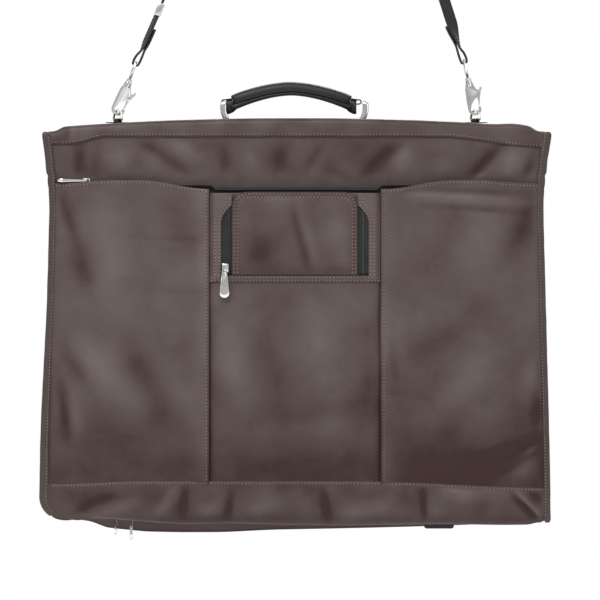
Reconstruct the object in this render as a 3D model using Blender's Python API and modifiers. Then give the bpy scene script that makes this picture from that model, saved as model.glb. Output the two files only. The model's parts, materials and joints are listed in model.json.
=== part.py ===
"""Folding leather garment bag: two zipped cases joined by a spine, with a front pocket, an organizer
flap, a carrying handle, a clip-on shoulder strap and hanging hardware. Lengths below are millimetres;
meshes are scaled to metres when they are added. +Z is up, the front faces -Y, and z = 0 is the bottom."""

import math

import bmesh
import bpy
from mathutils import Matrix, Vector

MM = 0.001

# Cases
WAIST_Z = 385.0
WAIST_HALF = 297.5
TOP_FLARE = 6.5
BOTTOM_FLARE = 8.5
BINDING_WIDTH = 8.6
CASE_TOP = 478.0
CASE_FACE = 46.0
CASE_LIP = 14.4
SHELL = 2.4
LINING = 1.0
FRONT_BOTTOM = 12.0
CORNER_RADIUS = 24.0
ZIP_BOTTOM = 28.0
ZIP_HALF = 285.4
TAPE_OUT = 13.9
TAPE_IN = 1.2
TAPE = 1.4

# Spine
SPINE_PEAK = 496.0
SPINE_DROOP = 4.8
SPINE_HALF = 298.0
COVER_HALF_DEPTH = 45.4
COVER = 2.4
FOLD_Y = 48.0
BAND = 1.8
BAND_HALF = 293.0
BAND_EDGE = 473.5
BAND_DROOP = 9.0
BINDING_BACK = 43.0
BINDING_FRONT = 49.5
BOARD_HALF = 270.0

# Front pocket and organizer
POCKET_BASE = 48.6
POCKET_BULGE = 10.0
POCKET_MARGIN = 0.6
POCKET_BOTTOM = 60.0
SEAM_LEFT = -105.0
SEAM_RIGHT = 101.0
LIP_SIDE = 420.6
LIP_CENTRE = 406.0
PANEL = 2.0
GAP = 0.4
ZIP_LEVEL = 415.6
FLAP_LEFT = -77.2
FLAP_RIGHT = 73.2
FLAP_TOP = 405.4
FLAP_HINGE = 308.2
FLAP_CORNER = 17.0
FLAP_TAPE_LEFT = -80.8
FLAP_TAPE_RIGHT = 79.6
ORGANIZER_ZIP = -86.4
POCKET_FLAT = POCKET_BASE + POCKET_BULGE
FRAME_LEFT = -90.2
FRAME_RIGHT = 86.8
FRAME_BAND = 307.6
FRAME_TOP = 404.5
FRAME_BOTTOM = 299.6
ZIP_WIDTH = 11.6
MESH_HALF = 210.0
MESH_LOW = 110.0
MESH_HIGH = 310.0

# Handle
RING_BASE = 81.0
HANDLE_CENTRE = -2.5
RING_Z = 494.4
RING_HEIGHT = 20.0
RING_LEAN = math.radians(-10.7)
RING_WIRE = 1.8
RING_HALF = 12.2
GRIP_PEAK = 531.6

# Shoulder strap and its hooks
SWING_Z = 494.6
BOW = 12.5
D_WIRE = 1.4
D_X = 215.5
D_TWIST = math.radians(6.0)
LEFT_LEAN = math.radians(21.0)
RIGHT_LEAN = math.radians(-13.0)
LEFT_TURN = math.radians(12.0)
CLAW_INNER = 4.7
CLAW_ROD = 3.2
CLAW_CENTRE = 1.7
HOOK_HALF = 2.2
HOOK_TOP = 36.5
GATE_PIVOT = (7.6, 19.5)
EYE_BAR = 61.5
EYE_HALF = 12.0
EYE_WIRE = 1.5
STRAP_HALF = 9.6
STRAP = 3.0
ARC_RADIUS = 150.0
LEFT_LEG = math.radians(23.7)
RIGHT_LEG = math.radians(17.7)
PAD_GAP = 0.5
PAD_HALF = 22.0
PAD = 8.0
PAD_REACH = math.radians(47.0)
KEEPER_AT = math.radians(36.0)
ADJUSTER_HALF = 13.0
ADJUSTER_HEIGHT = 16.0

# The cases are set back and lifted so that the origin lies under the middle of the whole bag,
# level with the tips of the closure's pulls
ORIGIN_SHIFT = (0.0, 6.15, 14.6)

# Zip pulls
PULL_PIVOT = 5.9
PULL_LENGTH = 36.0
PULL_HALF = 5.2
CLOSURE_LEFT = -218.0
CLOSURE_RIGHT = -199.4

# Hanging hardware on the rear case
HANG_Z = 46.0
HANG_Y = 53.4
HANG_WIRE = 2.2
CROOK = 24.0
CLAMP_Z = 112.0
CLAMP_Y = 37.5
CLAMP_HALF = 17.5
CLAMP_HEIGHT = 36.0
LUG_X = 20.0
HOLD_DOWN_Z = 267.5
HOLD_DOWN_HALF = 262.0

MATERIALS = {
    "brown_leather": ((0.098, 0.080, 0.076, 1), 0.48, 0.0),
    "black_leather": ((0.022, 0.022, 0.022, 1), 0.45, 0.0),
    "nickel": ((0.78, 0.78, 0.76, 1), 0.18, 1.0),
    "zip_tape": ((0.012, 0.012, 0.012, 1), 0.85, 0.0),
    "lining": ((0.035, 0.032, 0.030, 1), 0.80, 0.0),
    "mesh": ((0.020, 0.020, 0.020, 1), 0.90, 0.0),
    "board": ((0.050, 0.045, 0.040, 1), 0.70, 0.0),
}

PIVOTS = {}
ASSEMBLY = None
CUTTERS = None


# ---------- scene and placing ----------
def clear_scene():
    for old in list(bpy.data.objects):
        bpy.data.objects.remove(old, do_unlink=True)


def collection(name):
    made = bpy.data.collections.new(name)
    bpy.context.scene.collection.children.link(made)
    return made


def make_material(name):
    colour, roughness, metallic = MATERIALS[name]
    mat = bpy.data.materials.new(name)
    mat.use_nodes = True
    shader = mat.node_tree.nodes["Principled BSDF"]
    shader.inputs["Base Color"].default_value = colour
    shader.inputs["Roughness"].default_value = roughness
    shader.inputs["Metallic"].default_value = metallic
    mat.diffuse_color = colour
    return mat


def get_material(name):
    return bpy.data.materials.get(name) or make_material(name)


def pivot(body, point, parent=None):
    """An empty on a joint's axis, which the body's pieces hang from."""
    empty = bpy.data.objects.new("axis_" + body, None)
    empty.empty_display_size = 0.02
    ASSEMBLY.objects.link(empty)
    world = Vector(point) * MM
    empty.location = world
    if parent:
        upper, upper_world = PIVOTS[parent]
        empty.parent = upper
        empty.location = world - upper_world
    PIVOTS[body] = (empty, world)


def add(name, mesh, material, body, target=None):
    """Adds a mesh given in world millimetres as an object that moves with a body."""
    empty, world = PIVOTS[body]
    mesh.transform(Matrix.Translation(-world) @ Matrix.Scale(MM, 4))
    mesh.name = name
    obj = bpy.data.objects.new(name, mesh)
    obj.data.materials.append(get_material(material))
    obj.parent = empty
    (target or ASSEMBLY).objects.link(obj)
    return obj


def add_cutter(name, mesh, body):
    obj = add(name, mesh, "board", body, CUTTERS)
    obj.hide_render = True
    obj.display_type = "WIRE"
    return obj


def solidify(obj, thickness, offset=0.0):
    mod = obj.modifiers.new("thickness", "SOLIDIFY")
    mod.thickness = thickness * MM
    mod.offset = offset
    mod.use_even_offset = True
    return obj


def bevel(obj, width, segments=2, angle=35.0):
    mod = obj.modifiers.new("round", "BEVEL")
    mod.width = width * MM
    mod.segments = segments
    mod.limit_method = "ANGLE"
    mod.angle_limit = math.radians(angle)
    return obj


def combine(obj, tool, operation):
    mod = obj.modifiers.new(operation.lower(), "BOOLEAN")
    mod.operation = operation
    mod.solver = "EXACT"
    mod.object = tool
    return obj


# ---------- meshes ----------
def mesh_of(bm):
    mesh = bpy.data.meshes.new("mesh")
    bm.to_mesh(mesh)
    bm.free()
    return mesh


def box(low, high):
    bm = bmesh.new()
    bmesh.ops.create_cube(bm, size=1.0)
    low, high = Vector(low), Vector(high)
    bmesh.ops.scale(bm, vec=high - low, verts=bm.verts)
    bmesh.ops.translate(bm, vec=(low + high) / 2, verts=bm.verts)
    return mesh_of(bm)


def cylinder(start, end, radius, segments=16):
    start, end = Vector(start), Vector(end)
    bm = bmesh.new()
    bmesh.ops.create_cone(
        bm, cap_ends=True, segments=segments, radius1=radius, radius2=radius, depth=(end - start).length
    )
    turn = Vector((0, 0, 1)).rotation_difference(end - start).to_matrix().to_4x4()
    bm.transform(Matrix.Translation((start + end) / 2) @ turn)
    return mesh_of(bm)


def prism(loops, low, high):
    """Fills outlines (u, v), the first one outermost, and extrudes them along Y; u is X and v is Z."""
    curve = bpy.data.curves.new("outline", "CURVE")
    curve.dimensions = "2D"
    curve.fill_mode = "BOTH"
    curve.extrude = (high - low) / 2
    curve.render_resolution_u = 0
    for loop in loops:
        spline = curve.splines.new("POLY")
        spline.points.add(len(loop) - 1)
        for at, (u, v) in zip(spline.points, loop):
            at.co = (u, v, 0, 1)
        spline.use_cyclic_u = True
    mesh = mesh_from_curve(curve)
    mesh.transform(Matrix.Translation((0, (low + high) / 2, 0)) @ Matrix.Rotation(math.pi / 2, 4, "X"))
    return mesh


def tube(points, radius, closed=False, sides=2):
    curve = bpy.data.curves.new("wire", "CURVE")
    curve.dimensions = "3D"
    curve.bevel_depth = radius
    curve.bevel_resolution = sides
    curve.use_fill_caps = True
    curve.render_resolution_u = 0
    spline = curve.splines.new("POLY")
    spline.points.add(len(points) - 1)
    for at, point in zip(spline.points, points):
        at.co = (*point, 1)
    spline.use_cyclic_u = closed
    return mesh_from_curve(curve)


def mesh_from_curve(curve):
    temporary = bpy.data.objects.new("temporary", curve)
    bpy.context.scene.collection.objects.link(temporary)
    graph = bpy.context.evaluated_depsgraph_get()
    mesh = bpy.data.meshes.new_from_object(temporary.evaluated_get(graph))
    bpy.data.objects.remove(temporary, do_unlink=True)
    bm = bmesh.new()
    bm.from_mesh(mesh)
    bmesh.ops.remove_doubles(bm, verts=bm.verts, dist=0.01)
    bmesh.ops.recalc_face_normals(bm, faces=bm.faces)
    mesh.materials.clear()
    bm.to_mesh(mesh)
    bm.free()
    return mesh


def ribbon(path, low, high, rows=1):
    """A flat band: a line in the XZ plane, extruded along Y."""
    bm = bmesh.new()
    verts = [bm.verts.new((x, low, z)) for x, z in path]
    edges = [bm.edges.new(pair) for pair in zip(verts, verts[1:])]
    for _ in range(rows):
        made = bmesh.ops.extrude_edge_only(bm, edges=edges)["geom"]
        row = [g for g in made if isinstance(g, bmesh.types.BMVert)]
        bmesh.ops.translate(bm, vec=(0, (high - low) / rows, 0), verts=row)
        edges = [g for g in made if isinstance(g, bmesh.types.BMEdge)]
    bmesh.ops.recalc_face_normals(bm, faces=bm.faces)
    return mesh_of(bm)


def sheet(place, columns, rows):
    """A grid whose corners (0..1, 0..1) are put in place by a function."""
    bm = bmesh.new()
    bmesh.ops.create_grid(bm, x_segments=columns, y_segments=rows, size=0.5)
    for vert in bm.verts:
        vert.co = place(vert.co.x + 0.5, vert.co.y + 0.5)
    return mesh_of(bm)


def arc(centre, radius, start, end, steps):
    """Points on a circle, angles in degrees from +u towards +v."""
    angles = [math.radians(start + (end - start) * i / steps) for i in range(steps + 1)]
    return [(centre[0] + radius * math.cos(a), centre[1] + radius * math.sin(a)) for a in angles]


def rounded(low, high, radius, steps=3):
    (u0, v0), (u1, v1) = low, high
    r = radius
    return (
        arc((u1 - r, v0 + r), r, -90, 0, steps)
        + arc((u1 - r, v1 - r), r, 0, 90, steps)
        + arc((u0 + r, v1 - r), r, 90, 180, steps)
        + arc((u0 + r, v0 + r), r, 180, 270, steps)
    )


def moved(mesh, matrix):
    mesh.transform(matrix)
    return mesh


# ---------- shared outlines ----------
def half_width(z):
    if z > WAIST_Z:
        return WAIST_HALF + TOP_FLARE * ((z - WAIST_Z) / (CASE_TOP - WAIST_Z)) ** 2
    return WAIST_HALF + BOTTOM_FLARE * min(1.0, (WAIST_Z - z) / 325.0)


def spine_top(x):
    return SPINE_PEAK - SPINE_DROOP * (abs(x) / 200.0) ** 2.2


def front_bottom(x):
    return FRONT_BOTTOM


def rear_bottom(x):
    span = 435.0 if x > -145.0 else 125.0
    return 10.0 * ((x + 145.0) / span) ** 2


def case_outline(bottom, inset):
    """The open outline of a case seen from the front, from its top left down, round and up again."""
    radius = CORNER_RADIUS
    right = []
    for z in (CASE_TOP, 432.0, WAIST_Z, 300.0, 200.0, 110.0):
        right.append((half_width(z) - BINDING_WIDTH - inset, z))
    foot = half_width(40.0) - BINDING_WIDTH - inset
    corner = arc((foot - radius, 0.0), radius, 0, -90, 5)
    low = bottom(foot - radius) + inset + radius
    right += [(x, z + low) for x, z in corner]
    low_left = bottom(radius - foot) + inset + radius
    left = [(-x, z - low + low_left if z < 60.0 else z) for x, z in reversed(right)]
    steps = 12
    reach = foot - radius
    bed = []
    for i in range(1, steps):
        x = -reach + 2 * reach * i / steps
        bed.append((x, bottom(x) + inset))
    return list(reversed(left)) + bed + list(reversed(right))


def lip_point(x, z):
    """Where a case's outline comes to at the zip, nearer the middle than at the outer face."""
    lift = 17.0 * max(0.0, 1.0 - z / 130.0)
    return x * 0.966, z + lift


def zip_path(inset=0.0):
    half = ZIP_HALF - inset
    low = ZIP_BOTTOM + inset
    radius = 18.0
    left = [(-half, 470.0), (-half, 260.0)] + arc((radius - half, low + radius), radius, 180, 270, 5)
    right = [(-x, z) for x, z in reversed(left)]
    return left + right


def pocket_edge(z):
    return half_width(z) - BINDING_WIDTH - POCKET_MARGIN


def pocket_depth(x, z):
    across = 1.0 - min(1.0, abs(x) / pocket_edge(z)) ** 16
    t = min(1.0, max(0.0, (z - POCKET_BOTTOM) / 55.0))
    return POCKET_BASE + POCKET_BULGE * across * t * t * (3.0 - 2.0 * t)


def lip_height(x):
    t = min(1.0, max(0.0, (abs(x) - 105.0) / 110.0))
    return LIP_CENTRE + 6.0 + (LIP_SIDE - LIP_CENTRE - 6.0) * t


# ---------- cases ----------
def tray(bottom, side, face, lip, inset):
    """A case's open shell: the outer wall and the walls that run in from its edge to the zip."""
    bm = bmesh.new()
    outline = case_outline(bottom, inset)
    verts = [bm.verts.new((x, side * face, z)) for x, z in outline]
    wall = bm.faces.new(verts)
    edges = [bm.edges.get(pair) for pair in zip(verts, verts[1:])]
    made = bmesh.ops.extrude_edge_only(bm, edges=edges)["geom"]
    for vert in [g for g in made if isinstance(g, bmesh.types.BMVert)]:
        x, z = lip_point(vert.co.x, vert.co.z)
        vert.co = (x, side * lip, z)
    bmesh.ops.recalc_face_normals(bm, faces=bm.faces)
    wall.normal_update()
    if wall.normal.y * side < 0:
        bmesh.ops.reverse_faces(bm, faces=bm.faces)
    return mesh_of(bm)


def binding(side_x, side_y):
    """The bound seam that stands out along a case's side."""
    levels = [480.0, 455.0, 432.0, 400.0, WAIST_Z, 345.0, 300.0, 200.0, 110.0, 44.0]
    outer = [(side_x * half_width(z), z) for z in levels]
    inner = [(side_x * (half_width(z) - BINDING_WIDTH + GAP), z) for z in reversed(levels)]
    low, high = sorted((side_y * BINDING_BACK, side_y * BINDING_FRONT))
    return prism([outer + inner], low, high)


def top_band(side_y):
    """The strip across the top of a case's face, lapped over the panel below it."""
    half = BAND_HALF
    steps = 16
    xs = [-half + 2 * half * i / steps for i in range(steps + 1)]
    upper = [(x, spine_top(x) - 3.2) for x in xs]
    lower = [(x, BAND_EDGE - BAND_DROOP * (abs(x) / half) ** 5) for x in reversed(xs)]
    low, high = sorted((side_y * (CASE_FACE + GAP), side_y * (CASE_FACE + GAP + BAND)))
    return prism([upper + lower], low, high)


def build_case(name, bottom, side):
    """What both cases have: the leather shell, its lining and the two bound seams."""
    body = name + "_case"
    shell = tray(bottom, side, CASE_FACE, CASE_LIP, 0.0)
    solidify(add(name + "_panel", shell, "brown_leather", body), SHELL, -1)
    lining = tray(bottom, side, CASE_FACE - 3.0, CASE_LIP + 2.0, 5.6)
    solidify(add(name + "_lining", lining, "lining", body), LINING, -1)
    bevel(add(name + "_binding_left", binding(-1, side), "brown_leather", body), 1.6)
    bevel(add(name + "_binding_right", binding(1, side), "brown_leather", body), 1.6)


def build_rear():
    body = "rear_case"
    build_case("rear", rear_bottom, 1)
    solidify(add("rear_zip_tape", ribbon(zip_path(), TAPE_IN, TAPE_OUT), "zip_tape", body), TAPE)
    bevel(add("rear_top_band", top_band(1), "brown_leather", body), 0.6, 1)
    build_hanging_mounts(body)
    tab = prism([rounded((154.0, 2.5), (190.0, 26.8), 3.0)], 9.1, 10.9)
    bevel(add("zip_end_tab", tab, "black_leather", body), 0.4, 1)


def build_front():
    body = "front_case"
    build_case("front", front_bottom, -1)
    solidify(add("front_zip_tape", ribbon(zip_path(), -TAPE_OUT, -TAPE_IN), "zip_tape", body), TAPE)
    bevel(add("front_top_band", top_band(-1), "brown_leather", body), 0.6, 1)
    bevel(add("front_bottom_band", bottom_band(), "brown_leather", body), 0.6, 1)
    solidify(add("mesh_pocket", mesh_pocket(), "mesh", body), 0.8)
    build_pocket(body)
    build_organizer(body)


def bottom_band():
    half = half_width(50.0) - BINDING_WIDTH - 1.0
    corner = CORNER_RADIUS
    outline = [(half, POCKET_BOTTOM - GAP), (-half, POCKET_BOTTOM - GAP)]
    outline += arc((corner - half, FRONT_BOTTOM + 1.0 + corner), corner, 180, 270, 5)
    outline += arc((half - corner, FRONT_BOTTOM + 1.0 + corner), corner, 270, 360, 5)
    return prism([outline], -(CASE_FACE + 2.4), -(CASE_FACE + GAP))


def mesh_pocket():
    def place(u, v):
        x = MESH_HALF * (2.0 * u - 1.0)
        z = MESH_LOW + (MESH_HIGH - MESH_LOW) * v
        bow = 5.0 * math.sin(math.pi * u) * v
        return Vector((x, -(CASE_FACE - 5.2) + bow, z))

    return sheet(place, 8, 5)


# ---------- front pocket ----------
def pocket_panel(left, right, top):
    """A panel between two heights' worth of side edges, left(z) and right(z), up to a lip, top(x)."""

    def place(u, v):
        level = POCKET_BOTTOM + (LIP_SIDE - POCKET_BOTTOM) * v
        x = left(level) + (right(level) - left(level)) * u
        z = POCKET_BOTTOM + (top(x) - POCKET_BOTTOM) * v
        x = left(z) + (right(z) - left(z)) * u
        return Vector((x, -pocket_depth(x, z), z))

    return sheet(place, 10, 9)


def pocket_tape():
    """The pocket's zip, facing up between the case's panel and the pocket's lip."""
    reach = pocket_edge(ZIP_LEVEL) - 20.0
    steps = 20

    def place(u, v):
        x = -reach + 2 * reach * u
        outer = pocket_depth(x, ZIP_LEVEL) - PANEL - GAP
        y = CASE_FACE + GAP + (outer - CASE_FACE - GAP) * v
        if abs(x) < 104.0:
            y = CASE_FACE + GAP + (POCKET_FLAT - PANEL - GAP - CASE_FACE - GAP) * v
        return Vector((x, -y, ZIP_LEVEL))

    return sheet(place, steps, 1)


def build_pocket(body):
    left = pocket_panel(lambda z: -pocket_edge(z), lambda z: SEAM_LEFT - GAP, lip_height)
    right = pocket_panel(lambda z: SEAM_RIGHT + GAP, pocket_edge, lip_height)
    centre = pocket_panel(lambda z: SEAM_LEFT, lambda z: SEAM_RIGHT, lambda x: LIP_CENTRE)
    for name, mesh in (("left", left), ("centre", centre), ("right", right)):
        solidify(add("pocket_" + name + "_panel", mesh, "brown_leather", body), PANEL, -1)
    solidify(add("pocket_zip_tape", pocket_tape(), "zip_tape", body), 0.8)


# ---------- organizer on the pocket's centre ----------
def frame_outline(left, right, low, high, strip, radius):
    """A band open at the bottom, (u, v), going up, over and down."""
    outer = [(left, low)] + arc((left + radius, high - radius), radius, 180, 90, 4)
    outer += arc((right - radius, high - radius), radius, 90, 0, 4) + [(right, low)]
    bend = max(radius - strip, 1.0)
    level = high - strip - bend
    inner = [(right - strip, low)] + arc((right - strip - bend, level), bend, 0, 90, 4)
    inner += arc((left + strip + bend, level), bend, 90, 180, 4)
    return outer + inner + [(left + strip, low)]


def build_organizer(body):
    face = POCKET_FLAT
    behind = rounded((FRAME_LEFT + 0.7, 309.0), (FRAME_RIGHT - 1.2, 397.5), 4.0)
    backing = prism([behind], -(face + 1.2), -(face + 0.4))
    add("organizer_backing", backing, "lining", body)
    fixed = frame_outline(FRAME_LEFT - 5.3, FRAME_RIGHT + 4.8, 309.0, FRAME_TOP, ZIP_WIDTH, 12.0)
    add("organizer_zip_tape", prism([fixed], -(face + 2.8), -(face + 1.6)), "zip_tape", body)
    left, right = SEAM_LEFT + GAP, SEAM_RIGHT - GAP
    surround = [(left, FRAME_TOP), (left, FRAME_BOTTOM), (right, FRAME_BOTTOM), (right, FRAME_TOP)]
    surround += [(FRAME_RIGHT, FRAME_TOP), (FRAME_RIGHT, FRAME_BAND)]
    surround += [(FRAME_LEFT, FRAME_BAND), (FRAME_LEFT, FRAME_TOP)]
    leather = prism([surround], -(face + 4.8), -(face + 3.2))
    bevel(add("organizer_surround", leather, "brown_leather", body), 0.5, 1)


def build_flap():
    face = POCKET_FLAT
    body = "organizer_flap"
    pivot(body, (0.0, -(face + 5.2), FLAP_HINGE), "front_case")
    outline = rounded_top(FLAP_LEFT, FLAP_RIGHT, FLAP_HINGE + 0.4, FLAP_TOP, FLAP_CORNER)
    flap = prism([outline], -(face + 5.0), -(face + 3.2))
    bevel(add("organizer_flap_panel", flap, "brown_leather", body), 0.6, 1)
    tape = frame_outline(FLAP_TAPE_LEFT, FLAP_TAPE_RIGHT, FLAP_HINGE + 0.4, 392.4, 13.0, FLAP_CORNER)
    add("organizer_flap_tape", prism([tape], -(face + 2.8), -(face + 1.6)), "zip_tape", body)


def rounded_top(left, right, low, high, radius):
    outline = [(left, low), (right, low)]
    outline += arc((right - radius, high - radius), radius, 0, 90, 4)
    outline += arc((left + radius, high - radius), radius, 90, 180, 4)
    return outline


# ---------- zip sliders and pulls ----------
def slider_mesh(matrix):
    """A slider in its own frame: x across the zip, z along it and -y away from the tape."""
    return moved(box((-3.1, -3.6, -5.0), (3.1, -0.3, 5.0)), matrix)


def bridge_mesh(matrix):
    outside = [(-4.0, 3.0), (-4.0, 8.3), (4.0, 8.3), (4.0, 3.0)]
    inside = [(2.7, 3.0), (2.7, 7.1), (-2.7, 7.1), (-2.7, 3.0)]
    arch = prism([outside + inside], -1.1, 1.1)
    stand = Matrix(((0, 1, 0, 0), (0, 0, -1, 0), (1, 0, 0, 0), (0, 0, 0, 1)))
    return moved(arch, matrix @ stand)


def pull_mesh(matrix):
    """A pull hanging from its bar, which lies across the zip under the slider's bridge."""
    outline = rounded((-PULL_HALF, -PULL_LENGTH), (PULL_HALF, 0.8), 2.4)
    window = rounded((-2.2, -7.4), (2.2, -0.8), 0.8, 2)
    plate = prism([outline, window], -0.8, 0.8)
    return moved(plate, matrix)


def build_zip(name, parent, matrix, turn):
    """A slider and its pull. The matrix takes the slider's frame to the world; turn is how far
    the pull has swung up from lying along the zip."""
    slider = name + "_slider"
    origin = matrix @ Vector((0, 0, 0))
    pivot(slider, origin, parent)
    made = bevel(add(slider, slider_mesh(matrix), "nickel", slider), 0.9, 2)
    combine(made, add_cutter(slider + "_bridge", bridge_mesh(matrix), slider), "UNION")
    pull = name + "_pull"
    bar = Matrix.Translation((0, -PULL_PIVOT, 0)) @ Matrix.Rotation(turn, 4, "X")
    pivot(pull, matrix @ Vector((0, -PULL_PIVOT, 0)), slider)
    bevel(add(pull, pull_mesh(matrix @ bar), "nickel", pull), 0.3, 1)


def build_zips():
    face = POCKET_FLAT
    organizer_at = Matrix.Translation((ORGANIZER_ZIP, -(face + 2.8), 317.0))
    build_zip("organizer", "front_case", organizer_at, 0.0)
    upward = Matrix(((0, 0, 1, 0), (-1, 0, 0, 0), (0, -1, 0, 0), (0, 0, 0, 1)))
    pocket_at = Matrix.Translation((-252.0, -(CASE_FACE + 5.7), ZIP_LEVEL + 0.4))
    build_zip("pocket", "front_case", pocket_at @ upward, 0.0)
    downward = Matrix(((0, 0, 1, 0), (1, 0, 0, 0), (0, 1, 0, 0), (0, 0, 0, 1)))
    low = ZIP_BOTTOM - TAPE / 2
    for name, x in (("closure_left", CLOSURE_LEFT), ("closure_right", CLOSURE_RIGHT)):
        build_zip(name, "rear_case", Matrix.Translation((x, 0.0, low)) @ downward, math.radians(-90.0))


# ---------- spine and handle ----------
def spine_sheet(half, depth):
    def place(u, v):
        x = -half + 2 * half * u
        return Vector((x, -depth + 2 * depth * v, spine_top(x)))

    return sheet(place, 24, 1)


def build_spine():
    body = "spine"
    pivot(body, (0.0, FOLD_Y, SPINE_PEAK), "rear_case")
    top = spine_sheet(SPINE_HALF, COVER_HALF_DEPTH)
    cover = solidify(add("spine_cover", top, "brown_leather", body), COVER, -1)
    for side in (-1, 1):
        at = HANDLE_CENTRE + side * RING_BASE
        hole = box((at - 5.6, -15.5, 480.0), (at + 5.6, 15.5, 505.0))
        name = "left" if side < 0 else "right"
        combine(cover, add_cutter("ring_slot_" + name, hole, body), "DIFFERENCE")
        chape = prism([chape_outline(15.0, 1.2, 3.4), arc((0.0, 0.0), 2.25, 0, 345, 15)], -9.0, 9.0)
        chape = moved(chape, Matrix.Translation((at, 0.0, RING_Z)))
        add("handle_chape_" + name, chape, "black_leather", body)
        tab = prism([chape_outline(13.0, 1.0, 2.8), arc((0.0, 0.0), 1.75, 0, 345, 15)], -6.5, 6.5)
        tab = moved(tab, Matrix.Translation((side * D_X, 0.0, SWING_Z)) @ Matrix.Rotation(D_TWIST, 4, "Z"))
        add("strap_tab_" + name, tab, "black_leather", body)
    board = box((-BOARD_HALF, -41.0, 481.6), (BOARD_HALF, 41.0, 483.8))
    add("spine_board", board, "board", body)


def chape_outline(reach, thickness, radius):
    """A strip folded round a bar at (0, 0): a flat foot with a loop standing on it."""
    foot = -radius
    side = math.degrees(math.asin((radius - thickness) / radius))
    loop = arc((0.0, 0.0), radius, -side, 180 + side, 14)
    return [(-reach, foot), (reach, foot), (reach, foot + thickness)] + loop + [(-reach, foot + thickness)]


def ring_points(height, half, bow):
    """A handle ring standing on its lower bar, in its own frame."""
    radius = 4.0
    side = [(half, z) for z in (radius, height / 2, height - radius)]
    corner_low = arc((half - radius, radius), radius, -80, -10, 3)
    corner_high = arc((half - radius, height - radius), radius, 10, 80, 3)
    right = [(half - radius, 0.0)] + corner_low + side + corner_high + [(half - radius, height)]
    left = [(-y, z) for y, z in reversed(right)]
    return [(-bow * math.sin(math.pi * z / height), y, z) for y, z in right + left]


def build_handle():
    centre = {}
    for side, name in ((-1, "left"), (1, "right")):
        at = Vector((HANDLE_CENTRE + side * RING_BASE, 0.0, RING_Z))
        body = "handle_ring_" + name
        pivot(body, at, "spine")
        pose = Matrix.Translation(at) @ Matrix.Rotation(RING_LEAN, 4, "Y")
        ring = tube(ring_points(RING_HEIGHT, RING_HALF, side * -2.4), RING_WIRE, True)
        add(body, moved(ring, pose), "nickel", body)
        centre[name] = pose @ Vector((0, 0, RING_HEIGHT))
    build_grip(centre["left"], centre["right"])


def grip_line(left, right, start, end, steps):
    """Points on the handle's arched middle line, as fractions of the way between its bars."""
    middle = (left + right) / 2
    half = (right.x - left.x) / 2
    points = []
    for i in range(steps + 1):
        t = start + (end - start) * i / steps
        x = left.x + (right.x - left.x) * t
        far = min(1.0, abs(x - middle.x) / half)
        points.append((x, GRIP_PEAK - (GRIP_PEAK - left.z) * far**1.7))
    return points


def offset_band(line, half):
    """An outline a given distance either side of a line."""
    upper, lower = [], []
    for i, (x, z) in enumerate(line):
        before, after = line[max(0, i - 1)], line[min(len(line) - 1, i + 1)]
        way = Vector((after[0] - before[0], after[1] - before[1])).normalized()
        upper.append((x - way.y * half, z + way.x * half))
        lower.append((x + way.y * half, z - way.x * half))
    return upper + list(reversed(lower))


def build_grip(left, right):
    body = "handle_grip"
    pivot(body, left, "handle_ring_left")
    tunnels = [arc((bar.x, bar.z), 2.5, 0, 345, 15) for bar in (left, right)]
    core = prism([offset_band(grip_line(left, right, -0.028, 1.028, 22), 6.6)] + tunnels, -8.8, 8.8)
    core = bevel(add("handle_grip", core, "black_leather", body), 1.2, 1)
    middle = grip_line(left, right, 0.072, 0.928, 18)
    roll = tube([(x, 0.0, z) for x, z in middle], 7.9, sides=3)
    roll = moved(roll, Matrix.Diagonal((1.0, 1.5, 1.0, 1.0)))
    combine(core, add_cutter("grip_roll", roll, body), "UNION")


# ---------- strap hardware ----------
def d_ring_points():
    return [(0.0, y, z) for y, z in arc((0.0, 0.0), BOW, 0, 180, 16)]


def hook_pose(side, lean, turn):
    top = Vector((side * D_X, 0.0, SWING_Z + BOW))
    return Matrix.Translation(top) @ Matrix.Rotation(lean, 4, "Y") @ Matrix.Rotation(turn, 4, "Z")


def claw_outline():
    inner = CLAW_INNER
    outer = CLAW_INNER + CLAW_ROD
    centre = (0.0, CLAW_CENTRE)
    shape = arc(centre, outer, 180, 372, 14)
    shape += [(inner + 0.4, CLAW_CENTRE + 2.0)]
    shape += arc(centre, inner, 368, 172, 14)
    shape += [(-3.0, 7.0), (-0.6, 10.2), (3.2, 13.6), (7.0, 15.0), (10.6, 17.6), (11.2, 20.2), (9.6, 22.6)]
    shape += [(6.4, 25.6), (3.4, HOOK_TOP), (-3.4, HOOK_TOP), (-6.2, 26.0), (-7.4, 14.0)]
    return shape


def gate_outline():
    u, v = GATE_PIVOT
    return [
        (5.2, CLAW_CENTRE + 3.0),
        (7.0, CLAW_CENTRE + 3.4),
        (7.9, 10.0),
        (9.6, v - 3.4),
        (u + 2.4, v - 0.6),
        (u + 6.2, v + 4.8),
        (u + 6.0, v + 7.6),
        (u + 4.4, v + 7.4),
        (u + 1.2, v + 2.4),
        (u - 1.6, v + 1.4),
        (u - 2.0, v - 1.6),
        (6.2, 10.4),
    ]


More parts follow.
